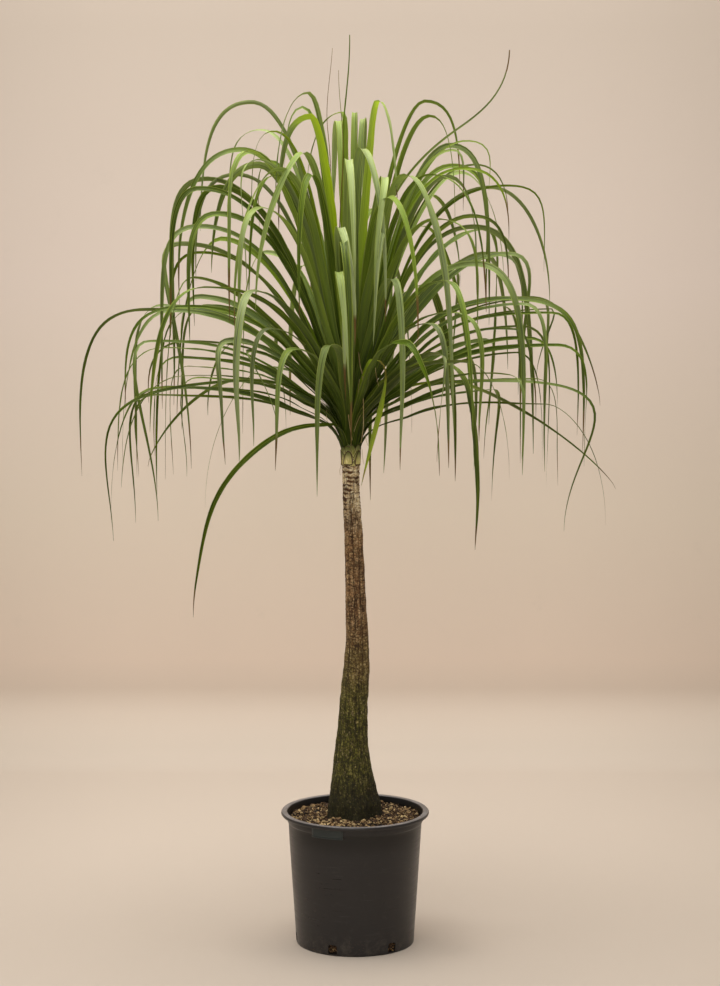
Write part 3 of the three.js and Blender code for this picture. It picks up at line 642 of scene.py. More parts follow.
def plastic_look(name, dark, light, rough_low, rough_high):
    look = Look(name)
    height = look.split(look.where)[2]
    cloud = look.grain((6, 6, 9), 4.0, 0.55)
    scuff = look.grain((16, 16, 210), 5.0, 0.7, 0.4)
    dust = look.grain((70, 70, 70), 4.0, 0.7)
    pores = look.grain((900, 900, 900), 2.0, 0.5)
    fleck = look.cells(look.stretch((120, 120, 120)))
    grime = look.cells(look.stretch((230, 230, 200)))
    low = look.between(height, 0.055, 0.0)
    rim = look.between(height, 0.2705, 0.2718)
    inside = look.between(look.reach(), 0.1378, 0.1370) * look.between(height, 0.2, 0.24)
    scuffed, lip_top_highlight = [tuple(v * gain + lift for v in light) for gain, lift in ((2.4, 0.010), (7.0, 0.060))]
    colour = look.coats(look.blend(cloud, dark, light), [
        (look.between(scuff, 0.56, 0.76, 0.0, 0.42), scuffed),
        (look.between(fleck, 0.09, 0.03, 0.0, 0.35), (0.085, 0.078, 0.070)),
        (look.between(dust, 0.55, 0.8, 0.0, 0.20), (0.062, 0.060, 0.058)),
        (look.between(grime, 0.20, 0.08) * (low * 0.75), (0.150, 0.085, 0.045)),
        (look.between(dust, 0.42, 0.66) * (low * 0.30), (0.120, 0.100, 0.078)),
        # painted highlight on the lip's top face, broken up by the scuff noise
        (rim * look.between(scuff, 0.35, 0.7, 0.45, 1.0), lip_top_highlight),
        # painted shade: the inner wall above the soil darkened nearly to black
        (inside * 0.95, (0.004, 0.0034, 0.0026)),
    ])
    rough = look.between(cloud * 0.5 + scuff * 0.5, 0.35, 0.65, rough_low, rough_high)
    normal = look.bump(scuff * 0.6 + pores * 0.4, 0.0005, 0.25)
    return look.finish(look.surface(colour, rough, normal, 0.42))


def chip_look():
    look = Look("bark_chips")
    tone, warm, _ = look.marks("chip_marks")
    grain = look.grain((420, 420, 420), 4.0, 0.65)
    blotch = look.grain((150, 150, 150), 3.0, 0.55)
    tan = look.ramp(tone * 0.8 + blotch * 0.2, [
        (0.16, (0.007, 0.004, 0.002)),
        (0.42, (0.030, 0.016, 0.007)),
        (0.56, (0.120, 0.066, 0.026)),
        (0.70, (0.340, 0.220, 0.094)),
        (0.92, (0.600, 0.440, 0.215)),
    ])
    colour = look.coats(tan, [
        (warm * 0.28, (0.22, 0.11, 0.045)),
        (look.between(grain, 0.45, 0.68, 0.0, 0.5), (0.022, 0.012, 0.006)),
    ])
    normal = look.bump(grain + blotch * 0.6, 0.0014, 0.8)
    return look.finish(look.surface(colour, look.between(grain, 0.3, 0.7, 0.7, 0.95), normal, 0.3))


def studio_look():
    look = Look("studio_paper")
    x, _, z = look.split(look.where)
    cloud = look.noise(look.where, 0.9)
    pulp = look.noise(look.where, 260.0, 3.0, 0.6)
    smudge = look.grain((7, 3, 7), 4.0, 0.7)
    # painted light and shade up the paper: darker at the floor and again toward the top, lightest in
    # between
    shade = look.ramp(look.maths("DIVIDE", z, PAPER_RAMP_TOP), [
        (0.0, (0.490, 0.420, 0.353)),
        (0.02, (0.512, 0.437, 0.362)),
        (0.055, (0.615, 0.518, 0.428)),
        (0.12, (0.715, 0.586, 0.480)),
        (0.30, (0.710, 0.610, 0.500)),
        (0.57, (0.670, 0.572, 0.500)),
        (0.87, (0.520, 0.443, 0.374)),
    ])
    colour = look.coats(shade, [
        (look.between(cloud, 0.35, 0.65, 0.0, 0.06), (0.420, 0.350, 0.290)),
        # painted shade: the paper darkens toward the sides
        (look.between(look.maths("ABSOLUTE", x), 0.45, 1.35, 0.0, 0.26), (0.250, 0.205, 0.160)),
        (look.between(smudge, 0.62, 0.80, 0.0, 0.10), (0.400, 0.350, 0.300)),
        # painted light: the paper grows paler from 2.2 to 7 m out, where the lamps reach less
        (look.between(look.reach(), 2.2, 7.0), (0.800, 0.740, 0.670)),
    ])
    paper = look.surface(colour, 0.85, look.bump(pulp, 0.0004, 0.12), 0.15)
    # the paper has one printed side: from behind it lets the view through to the plant
    behind = look.node("NewGeometry", out="Backfacing")
    return look.finish(look.mixed(behind, paper, look.node("BsdfTransparent")))


# ------------------------------------------------------------------ pot
def pot_profile():
    """Radius and height from the underside, up the outside, over the lip and down the inside."""
    base, shoulder, neck, lip, mouth = POT_BASE_R, POT_SHOULDER_R, POT_NECK_R, LIP_R, LIP_INNER_R
    return [
        (60, 0), (base - 1.8, 0), (base - 0.6, 0.4), (base, 1.6), (base + 0.35, 6),
        (base + 1.6, 25), (base + 4.6, 73), (base + 7.6, 120), (base + 10.7, 168), (base + 13.3, 210),
        (shoulder - 0.4, 243), (shoulder, POT_SHOULDER_Z - 0.6), (shoulder + 0.5, POT_SHOULDER_Z + 0.6),
        (neck - 0.7, POT_SHOULDER_Z + 1.8), (neck - 0.1, POT_SHOULDER_Z + 3.2), (neck, 257),
        (neck + 0.1, LIP_UNDER_Z - 1.6), (neck + 1.4, LIP_UNDER_Z - 0.2),
        (lip - 3.6, LIP_UNDER_Z), (lip - 1.6, LIP_UNDER_Z + 0.5), (lip - 0.4, LIP_UNDER_Z + 2),
        (lip, LIP_UNDER_Z + 4), (lip - 0.3, POT_HEIGHT - 2.2), (lip - 1.4, POT_HEIGHT - 0.6),
        (lip - 3.2, POT_HEIGHT), (mouth + 3.4, POT_HEIGHT), (mouth + 1.4, POT_HEIGHT - 0.5),
        (mouth + 0.3, POT_HEIGHT - 1.8), (mouth, POT_HEIGHT - 4),
        (THROAT_R + 0.1, LIP_UNDER_Z - 2), (THROAT_R, POT_SHOULDER_Z + 3.8),
        (shoulder - WALL - 0.2, POT_SHOULDER_Z + 0.6), (base - WALL + 1.4, 25), (base - WALL, POT_FLOOR),
    ]


def build_pot(material):
    sides = 192
    turns = turns_round(sides)
    profile = pot_profile()
    points = [(0.0, 0.0, 0.0)]
    for radius, z in profile:
        unevenness = 0.35 if 10 < z < 262 else 0.12 if z >= 262 else 0.0
        swell = value_noise(ring(turns, 2.2, z / 70), POT_NOISE) * unevenness
        points += ring(turns, radius + swell, z).tolist()
    points.append((0.0, 0.0, POT_FLOOR))
    faces = shifted(grid_faces(len(profile), sides, True), 1)
    faces += fan(1, sides, 0, False) + fan(len(points) - 1 - sides, sides, len(points) - 1, True)
    pot = mesh_object("pot_shell", points, faces, material)
    cutters = [notch_cutter(NOTCH_FIRST + n * 360 / NOTCH_COUNT) for n in range(NOTCH_COUNT)]
    for cutter in cutters:
        cut = pot.modifiers.new("notch", "BOOLEAN")
        cut.operation = "DIFFERENCE"
        cut.solver = "EXACT"
        cut.object = cutter
    shaped = pot.evaluated_get(bpy.context.evaluated_depsgraph_get())
    notched = bpy.data.meshes.new_from_object(shaped)
    pot.modifiers.clear()
    pot.data = notched
    notched.shade_smooth()
    notched.set_sharp_from_angle(angle=POT_CREASE)
    for cutter in cutters:
        bpy.data.objects.remove(cutter)
    piece(pot, "pot")


def notch_cutter(azimuth):
    """A rounded block through the wall; azimuth 0 faces the viewer."""
    half, corner, steps, through = NOTCH_WIDTH / 2, 4.0, 5, 12
    outline = [(-half, NOTCH_Z), (half, NOTCH_Z)]
    for side, start in ((1, 0.0), (-1, math.pi / 2)):
        for s in range(steps + 1):
            a = start + s * math.pi / 2 / steps
            x = side * (half - corner) + corner * math.cos(a)
            outline.append((x, NOTCH_TOP - corner + corner * math.sin(a)))
    turn = math.radians(azimuth)
    points = []
    c, s = math.cos(turn), math.sin(turn)
    for reach, (x, z) in product((POT_BASE_R - through, POT_BASE_R + through), outline):
        points.append((x * c + reach * s, x * s - reach * c, z))
    n = len(outline)
    faces = [tuple(reversed(range(n))), tuple(range(n, 2 * n))] + grid_faces(2, n, True)
    return mesh_object("notch_cutter", points, faces, None, smooth=False)


def build_tab(material):
    """The blank label tab under the lip, with its slightly prouder lower ledge."""
    steps, root, rounded = 24, 137.4, 1.2
    rows = [
        (root, TAB_Z), (TAB_R + 0.3, TAB_Z), (TAB_R + 0.7, TAB_Z + 0.5), (TAB_R + 0.7, TAB_Z + 1.9),
        (TAB_R + 0.2, TAB_Z + 2.4), (TAB_R - 0.2, TAB_Z + 2.7), (TAB_R - 0.2, LIP_UNDER_Z - 2.2),
        (TAB_R + 0.3, LIP_UNDER_Z - 1.4), (TAB_R + 0.3, LIP_UNDER_Z + 0.4), (root, LIP_UNDER_Z + 0.4),
    ]
    points = []
    for s in range(steps + 1):
        a = math.radians(TAB_FROM + (TAB_TO - TAB_FROM) * s / steps)
        for r, z in rows:
            radius = r - (rounded if s in (0, steps) and r > root else 0.0)
            points.append((radius * math.sin(a), -radius * math.cos(a), z))
    n = len(rows)
    faces = [(a, d, c, b) for a, b, c, d in grid_faces(steps + 1, n, True)]
    faces += [tuple(range(n)), tuple(reversed(range(steps * n, (steps + 1) * n)))]
    tab = mesh_object("pot_blank_tab", points, faces, material)
    tab.data.set_sharp_from_angle(angle=TAB_CREASE)
    piece(tab, "pot")


# ------------------------------------------------------------------ trunk
def trunk_line(z):
    """The stem's middle x and radius at a height."""
    i = 1
    while i < len(TRUNK_ROWS) - 1 and z < TRUNK_ROWS[i][0]:
        i += 1
    z0, x0, r0 = TRUNK_ROWS[i - 1]
    z1, x1, r1 = TRUNK_ROWS[i]
    t = (z0 - z) / (z0 - z1)
    ease = t * t * (3 - 2 * t)
    return x0 + (x1 - x0) * ease, r0 + (r1 - r0) * (0.5 * t + 0.5 * ease)


def flute(z, angle):
    rise = part_way(z, FLUTE_TOP_Z, SOIL_MIDDLE_Z)
    fade = part_way(z, TRUNK_FOOT_Z - 1, TRUNK_FOOT_Z + 59)
    wave = np.cos(FLUTES * angle + 0.8) + 0.45 * np.cos(3 * angle - 1.1)
    return FLUTE_DEPTH * rise * rise * fade * wave


def trunk_rings():
    """Leaf scars down the stem: height, tilt, phase, depth, waviness, and how far round each one runs."""
    draw = Draw(RING_SEED)
    rings = []
    z = TRUNK_TOP_Z - 6.5
    while z > RINGS_END_Z:
        high = part_way(z, DEEP_RINGS_FROM_Z, DEEP_RINGS_FULL_Z)
        fade = held((z - RINGS_END_Z) / 150, 0.25)
        depth = (0.62 + 0.75 * high) * fade + draw.bell(0.10)
        rings.append((z, draw.bell(1.2), draw.span(0, 6.28), depth, draw.bell(1.1), draw.span(0.1, 0.9)))
        z -= 4.9 + 1.5 * draw.next() + 2.4 * high
    return rings


def ring_relief(z, turns, rings):
    """Depth of the leaf scars at a height, and the height of the swelling under each."""
    groove, lift = np.zeros(len(turns)), np.zeros(len(turns))
    for middle, tilt, phase, depth, wavy, run in rings:
        if abs(z - middle) > 8:
            continue
        line = middle + tilt * np.cos(turns - phase) + wavy * np.sin(4 * turns + phase)
        gap = z - (line + 0.7 * np.sin(9 * turns + 3 * phase))
        strength = np.clip(0.35 + 0.8 * np.cos(2 * turns - phase * 1.7) + run, 0, 1)
        strength = strength * np.clip(0.9 + 0.4 * np.sin(5 * turns + 5 * phase), 0.5, 1)
        groove += depth * strength * np.exp(-((gap / (0.8 + 1.05 * depth * strength)) ** 2))
        lift += 0.42 * depth * strength * np.exp(-(((gap + 2.6) / 1.5) ** 2))
    return groove, lift


def crack_depth(z, turns):
    depth = np.zeros(len(turns))
    for n, (azimuth, top, bottom) in enumerate(CRACKS):
        if not bottom < z < top:
            continue
        wander = value_noise(np.array([[n * 7.3, z / 30, 0.5], [n * 7.3, z / 9, 4.5]]), CRACK_NOISE)
        middle = math.radians(azimuth + 7.0 * wander[0])
        arc = (turns - middle + math.pi) % (2 * math.pi) - math.pi
        ends = min((top - z) / 30, (z - bottom) / 60, 1)
        depth += ends * (0.75 + 0.35 * wander[1]) * np.exp(-((arc * 20 / 1.2) ** 2))
    return depth


def build_trunk(material):
    sides = 176
    turns = turns_round(sides)
    heights = np.arange(TRUNK_FOOT_Z, TRUNK_TOP_Z, TRUNK_STEP)
    rings = trunk_rings()
    points, marks = [], []
    for z in heights:
        x, r = trunk_line(z)
        spots = ring(turns, r / 9, z / 14)
        lump = layered_noise(spots, LUMP_NOISE) * 0.55
        rough = value_noise(spots * 5.1, PITTED_NOISE) * 0.28
        ridge = np.abs(layered_noise(ring(turns, r / 3.4, z / 38), RIDGE_NOISE, 2))
        ridge = ridge * 1.5 * part_way(z, RIDGES_FROM_Z, RIDGES_FULL_Z)
        groove, lift = ring_relief(z, turns, rings)
        crack = crack_depth(z, turns)
        radius = r + flute(z, turns) + lump - ridge + rough - groove * 0.8 + lift - crack
        points += ring(turns, radius, z, x).tolist()
        marks += zip(np.clip(np.maximum(groove * 1.3, crack * 1.2), 0, 1), np.clip(ridge, 0, 1), lift)
    for z in (heights[-1], heights[0]):
        points.append((trunk_line(z)[0], 0.0, float(z)))
        marks.append((0, 0, 0))
    faces = grid_faces(len(heights), sides, True)
    faces += fan((len(heights) - 1) * sides, sides, len(points) - 2, True)
    faces += fan(0, sides, len(points) - 1, False)
    piece(mesh_object("trunk_stem", points, faces, material, bark_marks=marks), "trunk")


# ------------------------------------------------------------------ bark mix
BED_INNER_R = 48.0
CHIP_KINDS = 14
CHIP_COUNT = 4200
CHIP_REACH = 134.2
NOTCH_CHIPS = 46


def soil_height(radius, x, y):
    share = np.clip((radius - 55) / (134 - 55), 0, 1)
    spots = np.stack([x / 17, y / 17, np.zeros_like(x)], axis=1)
    return SOIL_MIDDLE_Z + (SOIL_WALL_Z - SOIL_MIDDLE_Z) * share + layered_noise(spots, SOIL_NOISE) * 2.2


def lower_wall(z, gap):
    """Radius at a gap inside the lower wall."""
    return POT_BASE_R - WALL - gap + 0.064 * z


def build_soil(material):
    """The bed under the loose chips, down the inside of the wall to the floor."""
    sides = 144
    turns = turns_round(sides)
    outer = THROAT_R - 0.5
    underside = POT_FLOOR + 0.4
    # radius, height and roughness up the outside, then the top inward
    rows = [(0.5, underside, 0.0), (POT_BASE_R - WALL - 3, underside, 0.0)]
    rows += [(lower_wall(z, 0.9), z, 0.8) for z in np.arange(3.8, 27, 1.6)]
    rows += [(POT_SHOULDER_R - WALL - 0.9, POT_SHOULDER_Z, 0.0), (outer - 0.3, POT_SHOULDER_Z + 5, 0.0)]
    points = []
    for radius, z, rough in rows:
        dent = 0.5 + 0.5 * value_noise(ring(turns, 22, z / 4), DENT_NOISE)
        points += ring(turns, radius - dent * rough * 2.4, z).tolist()
    for radius in np.linspace(outer, BED_INNER_R, 34):
        x, y, _ = ring(turns, radius, 0.0).T
        points += ring(turns, radius, soil_height(np.full(sides, radius), x, y) - 1.0).tolist()
    faces = grid_faces(len(points) // sides, sides, True)
    # the bed is near black: a dark fine mix, with painted shade for the gaps between the chips
    place = np.arange(len(points))
    tones = corner_value(place, place * 3, place * 7, TONE_NOISE)
    marks = np.stack([tones * 0.22, tones * 0, tones * 0], axis=1)
    piece(mesh_object("bark_mix_bed", points, faces, material, chip_marks=marks), "soil")


def chip_shape(draw):
    """A rough chunk: a cube's faces split once, pushed toward a ball and then knocked about."""
    index, points, faces = {}, [], []

    def corner(p):
        if p not in index:
            v = np.array(p)
            v = v * (0.62 + 0.38 / np.linalg.norm(v) * 1.2)
            index[p] = len(points)
            points.append(v + np.array([draw.bell(0.13), draw.bell(0.13), draw.bell(0.13)]))
        return index[p]

    for axis, side, i, j in product(range(3), (-1, 1), (-1, 0), (-1, 0)):
        quad = []
        for u, v in ((0, 0), (1, 0), (1, 1), (0, 1)):
            p = [side, i + u, j + v]
            quad.append(corner(tuple(float(c) for c in p[3 - axis:] + p[:3 - axis])))
        faces.append(tuple(quad) if side > 0 else tuple(reversed(quad)))
    return np.array(points), faces


def turn_matrix(draw):
    """A turn that mostly lays the chip flat."""
    angles = draw.span(0, 6.283), draw.bell(0.45), draw.bell(0.45)
    (cy, sy), (cp, sp), (cr, sr) = [(math.cos(a), math.sin(a)) for a in angles]
    yaw = np.array([[cy, -sy, 0], [sy, cy, 0], [0, 0, 1]])
    pitch = np.array([[cp, 0, sp], [0, 1, 0], [-sp, 0, cp]])
    roll = np.array([[1, 0, 0], [0, cr, -sr], [0, sr, cr]])
    return yaw @ pitch @ roll


def build_chips(material):
    draw = Draw(CHIP_SEED)
    shapes = [chip_shape(draw) for _ in range(CHIP_KINDS)]
    inner = trunk_line(SOIL_MIDDLE_Z)[1] - 3
    points, faces, marks = [], [], []

    def add(centre, size, matrix, tone, warm):
        shape, quads = shapes[int(draw.next() * len(shapes))]
        faces.extend(shifted(quads, len(points)))
        points.extend(((shape * size) @ matrix.T + centre).tolist())
        marks.extend([(tone, warm, 0.0)] * len(shape))

    for _ in range(CHIP_COUNT):
        angle = draw.span(0, 2 * math.pi)
        radius = math.sqrt(draw.span(inner**2, 133.0**2))
        long = 1.3 + 3.1 * draw.next() ** 1.8
        if draw.next() < 0.06:
            long *= 1.45
        size = np.array([long, long * draw.span(0.45, 0.85), long * draw.span(0.25, 0.55)])
        reach = radius if radius + long < CHIP_REACH else CHIP_REACH - long
        x, y = reach * math.cos(angle), reach * math.sin(angle)
        z = float(soil_height(reach, np.array([x]), np.array([y]))[0]) + draw.span(-2.2, 2.0)
        tone = held(0.47 + draw.bell(0.36), 0.02, 0.98)
        add(np.array([x, y, z]), size, turn_matrix(draw), tone, draw.next())
    # the mix that shows in the drainage notches
    for n in range(NOTCH_COUNT):
        middle = math.radians(NOTCH_FIRST + n * 360 / NOTCH_COUNT)
        for _ in range(NOTCH_CHIPS):
            a = middle + draw.bell(0.05)
            z = draw.span(5, 21.5)
            radius = lower_wall(z, 1.9)
            long = draw.span(1.1, 2.3)
            size = np.array([long, long * 0.7, long * 0.5])
            centre = np.array([radius * math.sin(a), -radius * math.cos(a), z])
            add(centre, size, turn_matrix(draw), held(0.5 + draw.bell(0.2)), draw.next())
    chips = mesh_object("bark_mix_chips", points, faces, material, smooth=False, chip_marks=marks)
    piece(chips, "soil")


# ------------------------------------------------------------------ leaves
def rule_leaves():
    """The CAD part's invented leaves, as rows like those of PLACED."""
    draw = Draw(LEAF_SEED)
    rows = []
    i = 0
    while len(rows) < RULE_LEAVES:
        azimuth = math.radians((i * GOLDEN_TURN + draw.bell(6)) % 360)
        keep = draw.next()
        share = ((i % RULE_LEAVES) + 0.5) / RULE_LEAVES
        lift = 17 + 62 * share**0.92 + draw.bell(4)
        reach = 352 + 345 * (max(lift, 0) / 90) ** 1.2 + draw.bell(32)
        drop = 330 + draw.bell(60)
        outward = 72 + draw.bell(25)
        sway = draw.bell(45)
        width = 17 + draw.bell(2)
        roll_fold = draw.bell(20)
        roll_tip = draw.bell(60)
        shape = draw.next()
        i += 1
        if lift > 62:
            drop *= 0.75
            outward *= 0.8
        if lift < 34:
            drop *= 0.72
        flat = reach * math.cos(math.radians(lift))
        ca, sa = math.cos(azimuth), math.sin(azimuth)
        x = CROWN_X + flat * ca
        y = CROWN_Y + flat * sa
        z = CROWN_Z + 20 + reach * math.sin(math.radians(lift))
        tip_x = x + outward * ca - sway * sa
        tip_y = y + outward * sa + sway * ca
        arch = 0.32 + 0.18 * shape
        thrown = 40 + 50 * shape
        # the table holds most of the front, so about half of the rule's own rows there are dropped
        if not (-sa > 0.2 and keep < 0.55):
            rows.append((x, y, z, tip_x, tip_y, z - drop, width, arch, thrown, 0.6, roll_fold, roll_tip))
    return rows


def leaf_spans(row):
    """Control points of a leaf's two spans, its azimuth round the crown and its rank, 0 low to 1 high."""
    fold, tip = np.array(row[0:3], float), np.array(row[3:6], float)
    arch, thrown, hang = row[7:10]
    slope = math.radians(row[12] if len(row) > 12 else 0)
    dx, dy, _ = fold - CROWN
    flat = math.hypot(dx, dy)
    azimuth = math.atan2(dy, dx)
    elevation = math.degrees(math.atan2(fold[2] - CROWN_Z - 20, flat))
    rank = part_way(elevation, 5, 87)
    height = 14 + 122 * rank
    out = heading(azimuth)
    root = CROWN + UP * height + out * table_at(CORE, height) * ROOT_SHARE
    span = float(np.linalg.norm(fold - root))
    launch = heading(azimuth, math.radians(min(88, 30 + elevation * 0.72)))
    away = (tip - fold) * (1, 1, 0)
    pull = min(float(np.linalg.norm(away)) / LEAN_OVER, 1)
    course = unit(unit(away) * pull + out)
    tangent = course * math.cos(slope) + UP * math.sin(slope)
    standing = slope >= 0.3
    back = max(arch * (span if standing else flat), 18)
    drop = fold[2] - tip[2]
    reach = max(thrown, 0.33 * abs(drop)) if standing else thrown
    rise = (root, root + launch * 0.42 * span, fold - tangent * back, fold)
    fall = (fold, fold + tangent * reach, tip + UP * hang * drop, tip)
    return rise, fall, azimuth, rank


def bezier(control, count):
    t = np.linspace(0, 1, count)[:, None]
    p0, p1, p2, p3 = control
    return (1 - t) ** 3 * p0 + 3 * (1 - t) ** 2 * t * p1 + 3 * (1 - t) * t**2 * p2 + t**3 * p3


def leaf_centreline(rank, azimuth, rise, fall, bow, draw):
    """Stations from the stem's top to the tip: points, millimetres along, share along, the fold's share."""
    out = heading(azimuth)
    seat_r = 16.4 - 10.5 * rank + draw.bell(0.7)
    seat = CROWN + UP * (0.6 + 12 * rank + draw.span(0, 4)) + out * seat_r
    climb = bezier(rise, CLIMB_POINTS)
    # the leaves stand close together above the stem, then curve out to their own lines
    gone = np.linalg.norm(climb - climb[0], axis=1)
    meet = min(int(np.searchsorted(gone, (125 + 60 * rank) * draw.span(0.9, 1.15))), MEET_BEFORE)
    onward = unit(climb[meet + 1] - climb[meet])
    far = float(np.linalg.norm(climb[meet] - seat))
    straight = unit(UP + out * 0.07)
    bent = (seat, seat + straight * far * 0.60, climb[meet] - onward * far * 0.30, climb[meet])
    neck = bezier(bent, NECK_POINTS)
    descent = bezier(fall, FALL_POINTS)
    descent[:, 0] += np.sin(math.pi * np.linspace(0, 1, FALL_POINTS) ** 0.8) * bow
    line = np.vstack([neck[:-1], climb[meet:], descent[1:]])
    knee_at = len(neck) - 1 + len(climb) - meet - 1
    along = np.concatenate([[0], np.cumsum(np.linalg.norm(np.diff(line, axis=0), axis=1))])
    total = along[-1]
    at = np.linspace(0, total, max(30, int(total / LEAF_STATION)))
    even = np.stack([np.interp(at, along, line[:, k]) for k in range(3)], axis=1)
    return even, at, at / total, along[knee_at] / total


def leaf_width(number, width, at, share, past, azimuth, rank):
    """Half width at a station of leaf number; past is the share of the way from the fold to the tip."""
    if FIRST_THREAD <= number < len(PLACED):
        return 0.5 * width * THREADS[number - FIRST_THREAD][0] * table_at(THREAD_PROFILE, share)
    if number == BRIGHT_HANGER:
        return max(0.5 * width * table_at(HANGER_PROFILE, share), 0.30)
    half = max(0.5 * width * table_at(FOOT_PROFILE, at) * table_at(WIDTH_PROFILE, share), 0.30)
    # leaves that leave sideways grow slimmer outward
    slim = SLIM + 0.16 * max(math.cos(azimuth), 0)
    if number < len(PLACED):
        slim *= 1 - 0.70 * min(past * 3, 1)
    else:
        slim = min(slim + 0.18, 0.76)
    return half * (1 - slim * math.cos(azimuth) ** 2 * (1 - rank) * part_way(share, 0.25, 0.60))


def sideways_turn(azimuth, rank, roll):
    """The extra roll that turns the broad face of a leaf that leaves sideways to the front or back."""
    turned = (TURN_LOW + (TURN_HIGH - TURN_LOW) * rank) * math.cos(azimuth) ** 2
    steep = math.sin(math.radians(8 + 74 * rank))

    def shown(extra):
        whole = roll + extra
        return abs(steep * math.sin(azimuth) * math.cos(whole) + math.cos(azimuth) * math.sin(whole))

    return max((turned, -turned), key=shown)


def leaf_sheet(row, number):
    """Points, faces and marks of one leaf: a channelled strap with a soft wave along its margins."""
    draw = Draw(BLADE_SEED + BLADE_SEED_STEP * number)
    hanger = number == BRIGHT_HANGER
    thread = FIRST_THREAD <= number < len(PLACED)
    rise, fall, azimuth, rank = leaf_spans(row)
    line, at, share, knee = leaf_centreline(rank, azimuth, rise, fall, HANGER_BOW if hanger else 0.0, draw)
    tangents = np.gradient(line, axis=0)
    tangents /= np.linalg.norm(tangents, axis=1)[:, None]
    sway, phase, beat = draw.span(0.5, 1.6), draw.span(0, 6.28), draw.span(2.0, 4.5)
    flutter, flutter_phase, flutter_beat = draw.span(0.1, 0.45), draw.span(0, 6.28), draw.span(9, 17)
    tone, burnt, sheen_paint = draw.next(), draw.next(), draw.next()
    dry_from = 1.03 - (0.15 * burnt if burnt > 0.45 else 0.0)
    glow = GLOW.get(number, max(0.0, draw.next() - 0.60) * 1.6 * max(0.0, rank - 0.30))
    # painted sheen highlight on the upper face, stronger on high leaves and on leaves at the front
    front = 0.30 if row[1] < -140 and number < FIRST_THREAD else 0.0
    sheen_paint = PAINTED_SHEEN.get(number, min(sheen_paint**1.4 * (0.4 + 0.6 * rank) + front, 1.0))
    tone = TONE.get(number, held(0.78 * tone + 0.62 * (rank - 0.45)))
    roll_fold, roll_tip = math.radians(row[10]), math.radians(row[11])
    sideways = sideways_turn(azimuth, rank, roll_fold)
    side = np.array([-math.sin(azimuth), math.cos(azimuth), 0.0])
    points, place, marks, kind = [], [], [], []
    for centre, t, along, s in zip(line, tangents, at.tolist(), share.tolist()):
        side = unit(side - t * float(side @ t))
        calm = part_way(along, 60, 200)
        past = max(s - knee, 0) / (1 - knee)
        roll = roll_fold * min(s / knee, 1) + (roll_tip - roll_fold) * past
        roll += math.pi / 2 if thread else sideways * calm * (1 - past)
        roll += 0.08 * sway * math.sin(beat * 6.28 * s + phase) * calm
        across = side * math.cos(roll) + np.cross(t, side) * math.sin(roll)
        face = np.cross(t, across)
        half = leaf_width(number, row[6], along, s, past, azimuth, rank)
        channel = 0.25 + 0.45 * max(0, 1 - along / 110) + 0.10 * abs(math.sin(3.1 * s + phase))
        middle = centre + across * (1.7 * sway * math.sin(beat * 4.1 * s + phase)) * calm
        # shade lies from the stem to the fold, most of all near the stem, and on hanging side leaves
        under = part_way(s, knee * 1.08, knee * 0.78) * (1 - 0.72 * rank)
        under = min(under + max(0.0, 1 - along / 260) * 0.22, 1)
        under = max(under, 0.84 * part_way(past, 0.06, 0.34) * (1 - 0.70 * rank) * math.cos(azimuth) ** 2)
        glowing = glow if hanger else glow * max(0.0, 1 - past * 4)
        dry = THREADS[number - FIRST_THREAD][1] if thread else 0.0
        if s > dry_from:
            dry = max(dry, (s - dry_from) / max(1.0 - dry_from, 0.02) + 0.45)
        if hanger:
            dry = max(dry, 0.8 * math.exp(-(((s - 0.56) / 0.07) ** 2)))
        cream = max(0.0, 1 - along / (22 + 14 * tone)) ** 0.8
        for u in ACROSS:
            late = 1.9 if u > 0 else 0
            wave = flutter * math.sin(flutter_beat * 6.28 * s + flutter_phase + late) * abs(u) ** 2
            lift = channel * half * abs(u) ** 1.35 + wave * half * 0.3
            points.append(middle + across * (u * half) + face * lift)
            place.append((u * half, along, tone))
            marks.append((abs(u), min(dry, 1.2), min(cream, 1)))
            kind.append((glowing * (0.75 + 0.25 * u), under, sheen_paint * (0.8 + 0.2 * u)))
    return points, grid_faces(len(line), len(ACROSS), False), place, marks, kind


def build_leaves(material):
    points, faces, place, marks, kind = [], [], [], [], []
    for number, row in enumerate(PLACED + rule_leaves()):
        if number == LEFT_OUT:
            continue
        leaf = leaf_sheet(row, number)
        faces += shifted(leaf[1], len(points))
        for heap, part in zip((points, place, marks, kind), (leaf[0], *leaf[2:])):
            heap += part
    marked = {"leaf_place": place, "leaf_marks": marks, "leaf_painted_light": kind}
    piece(mesh_object("leaf_blades", points, faces, material, **marked), "leaf_crown")


def build_heart(material):
    """The stem's tip inside the crown, which closes the view between the leaf feet."""
    rows = [(17.3, -0.6), (17.2, 8), (16.6, 26), (16, 50), (15, 80), (12, 112), (7, 140), (1, 152)]
    sides = 64
    turns = turns_round(sides)
    points, marks = [], []
    for r, h in rows:
        radius = r + value_noise(ring(turns, 3.1, h / 40), HEART_NOISE) * 0.5
        points += ring(turns, radius, CROWN_Z + h, CROWN_X).tolist()
        marks += [(0.1, min(h / 40, 1), 0.5)] * sides
    faces = grid_faces(len(rows), sides, True)
    faces += [tuple(reversed(range(sides))), tuple(range((len(rows) - 1) * sides, len(rows) * sides))]
    heart = mesh_object("crown_heart", points, faces, material, sheath_marks=marks)
    piece(heart, "leaf_crown")


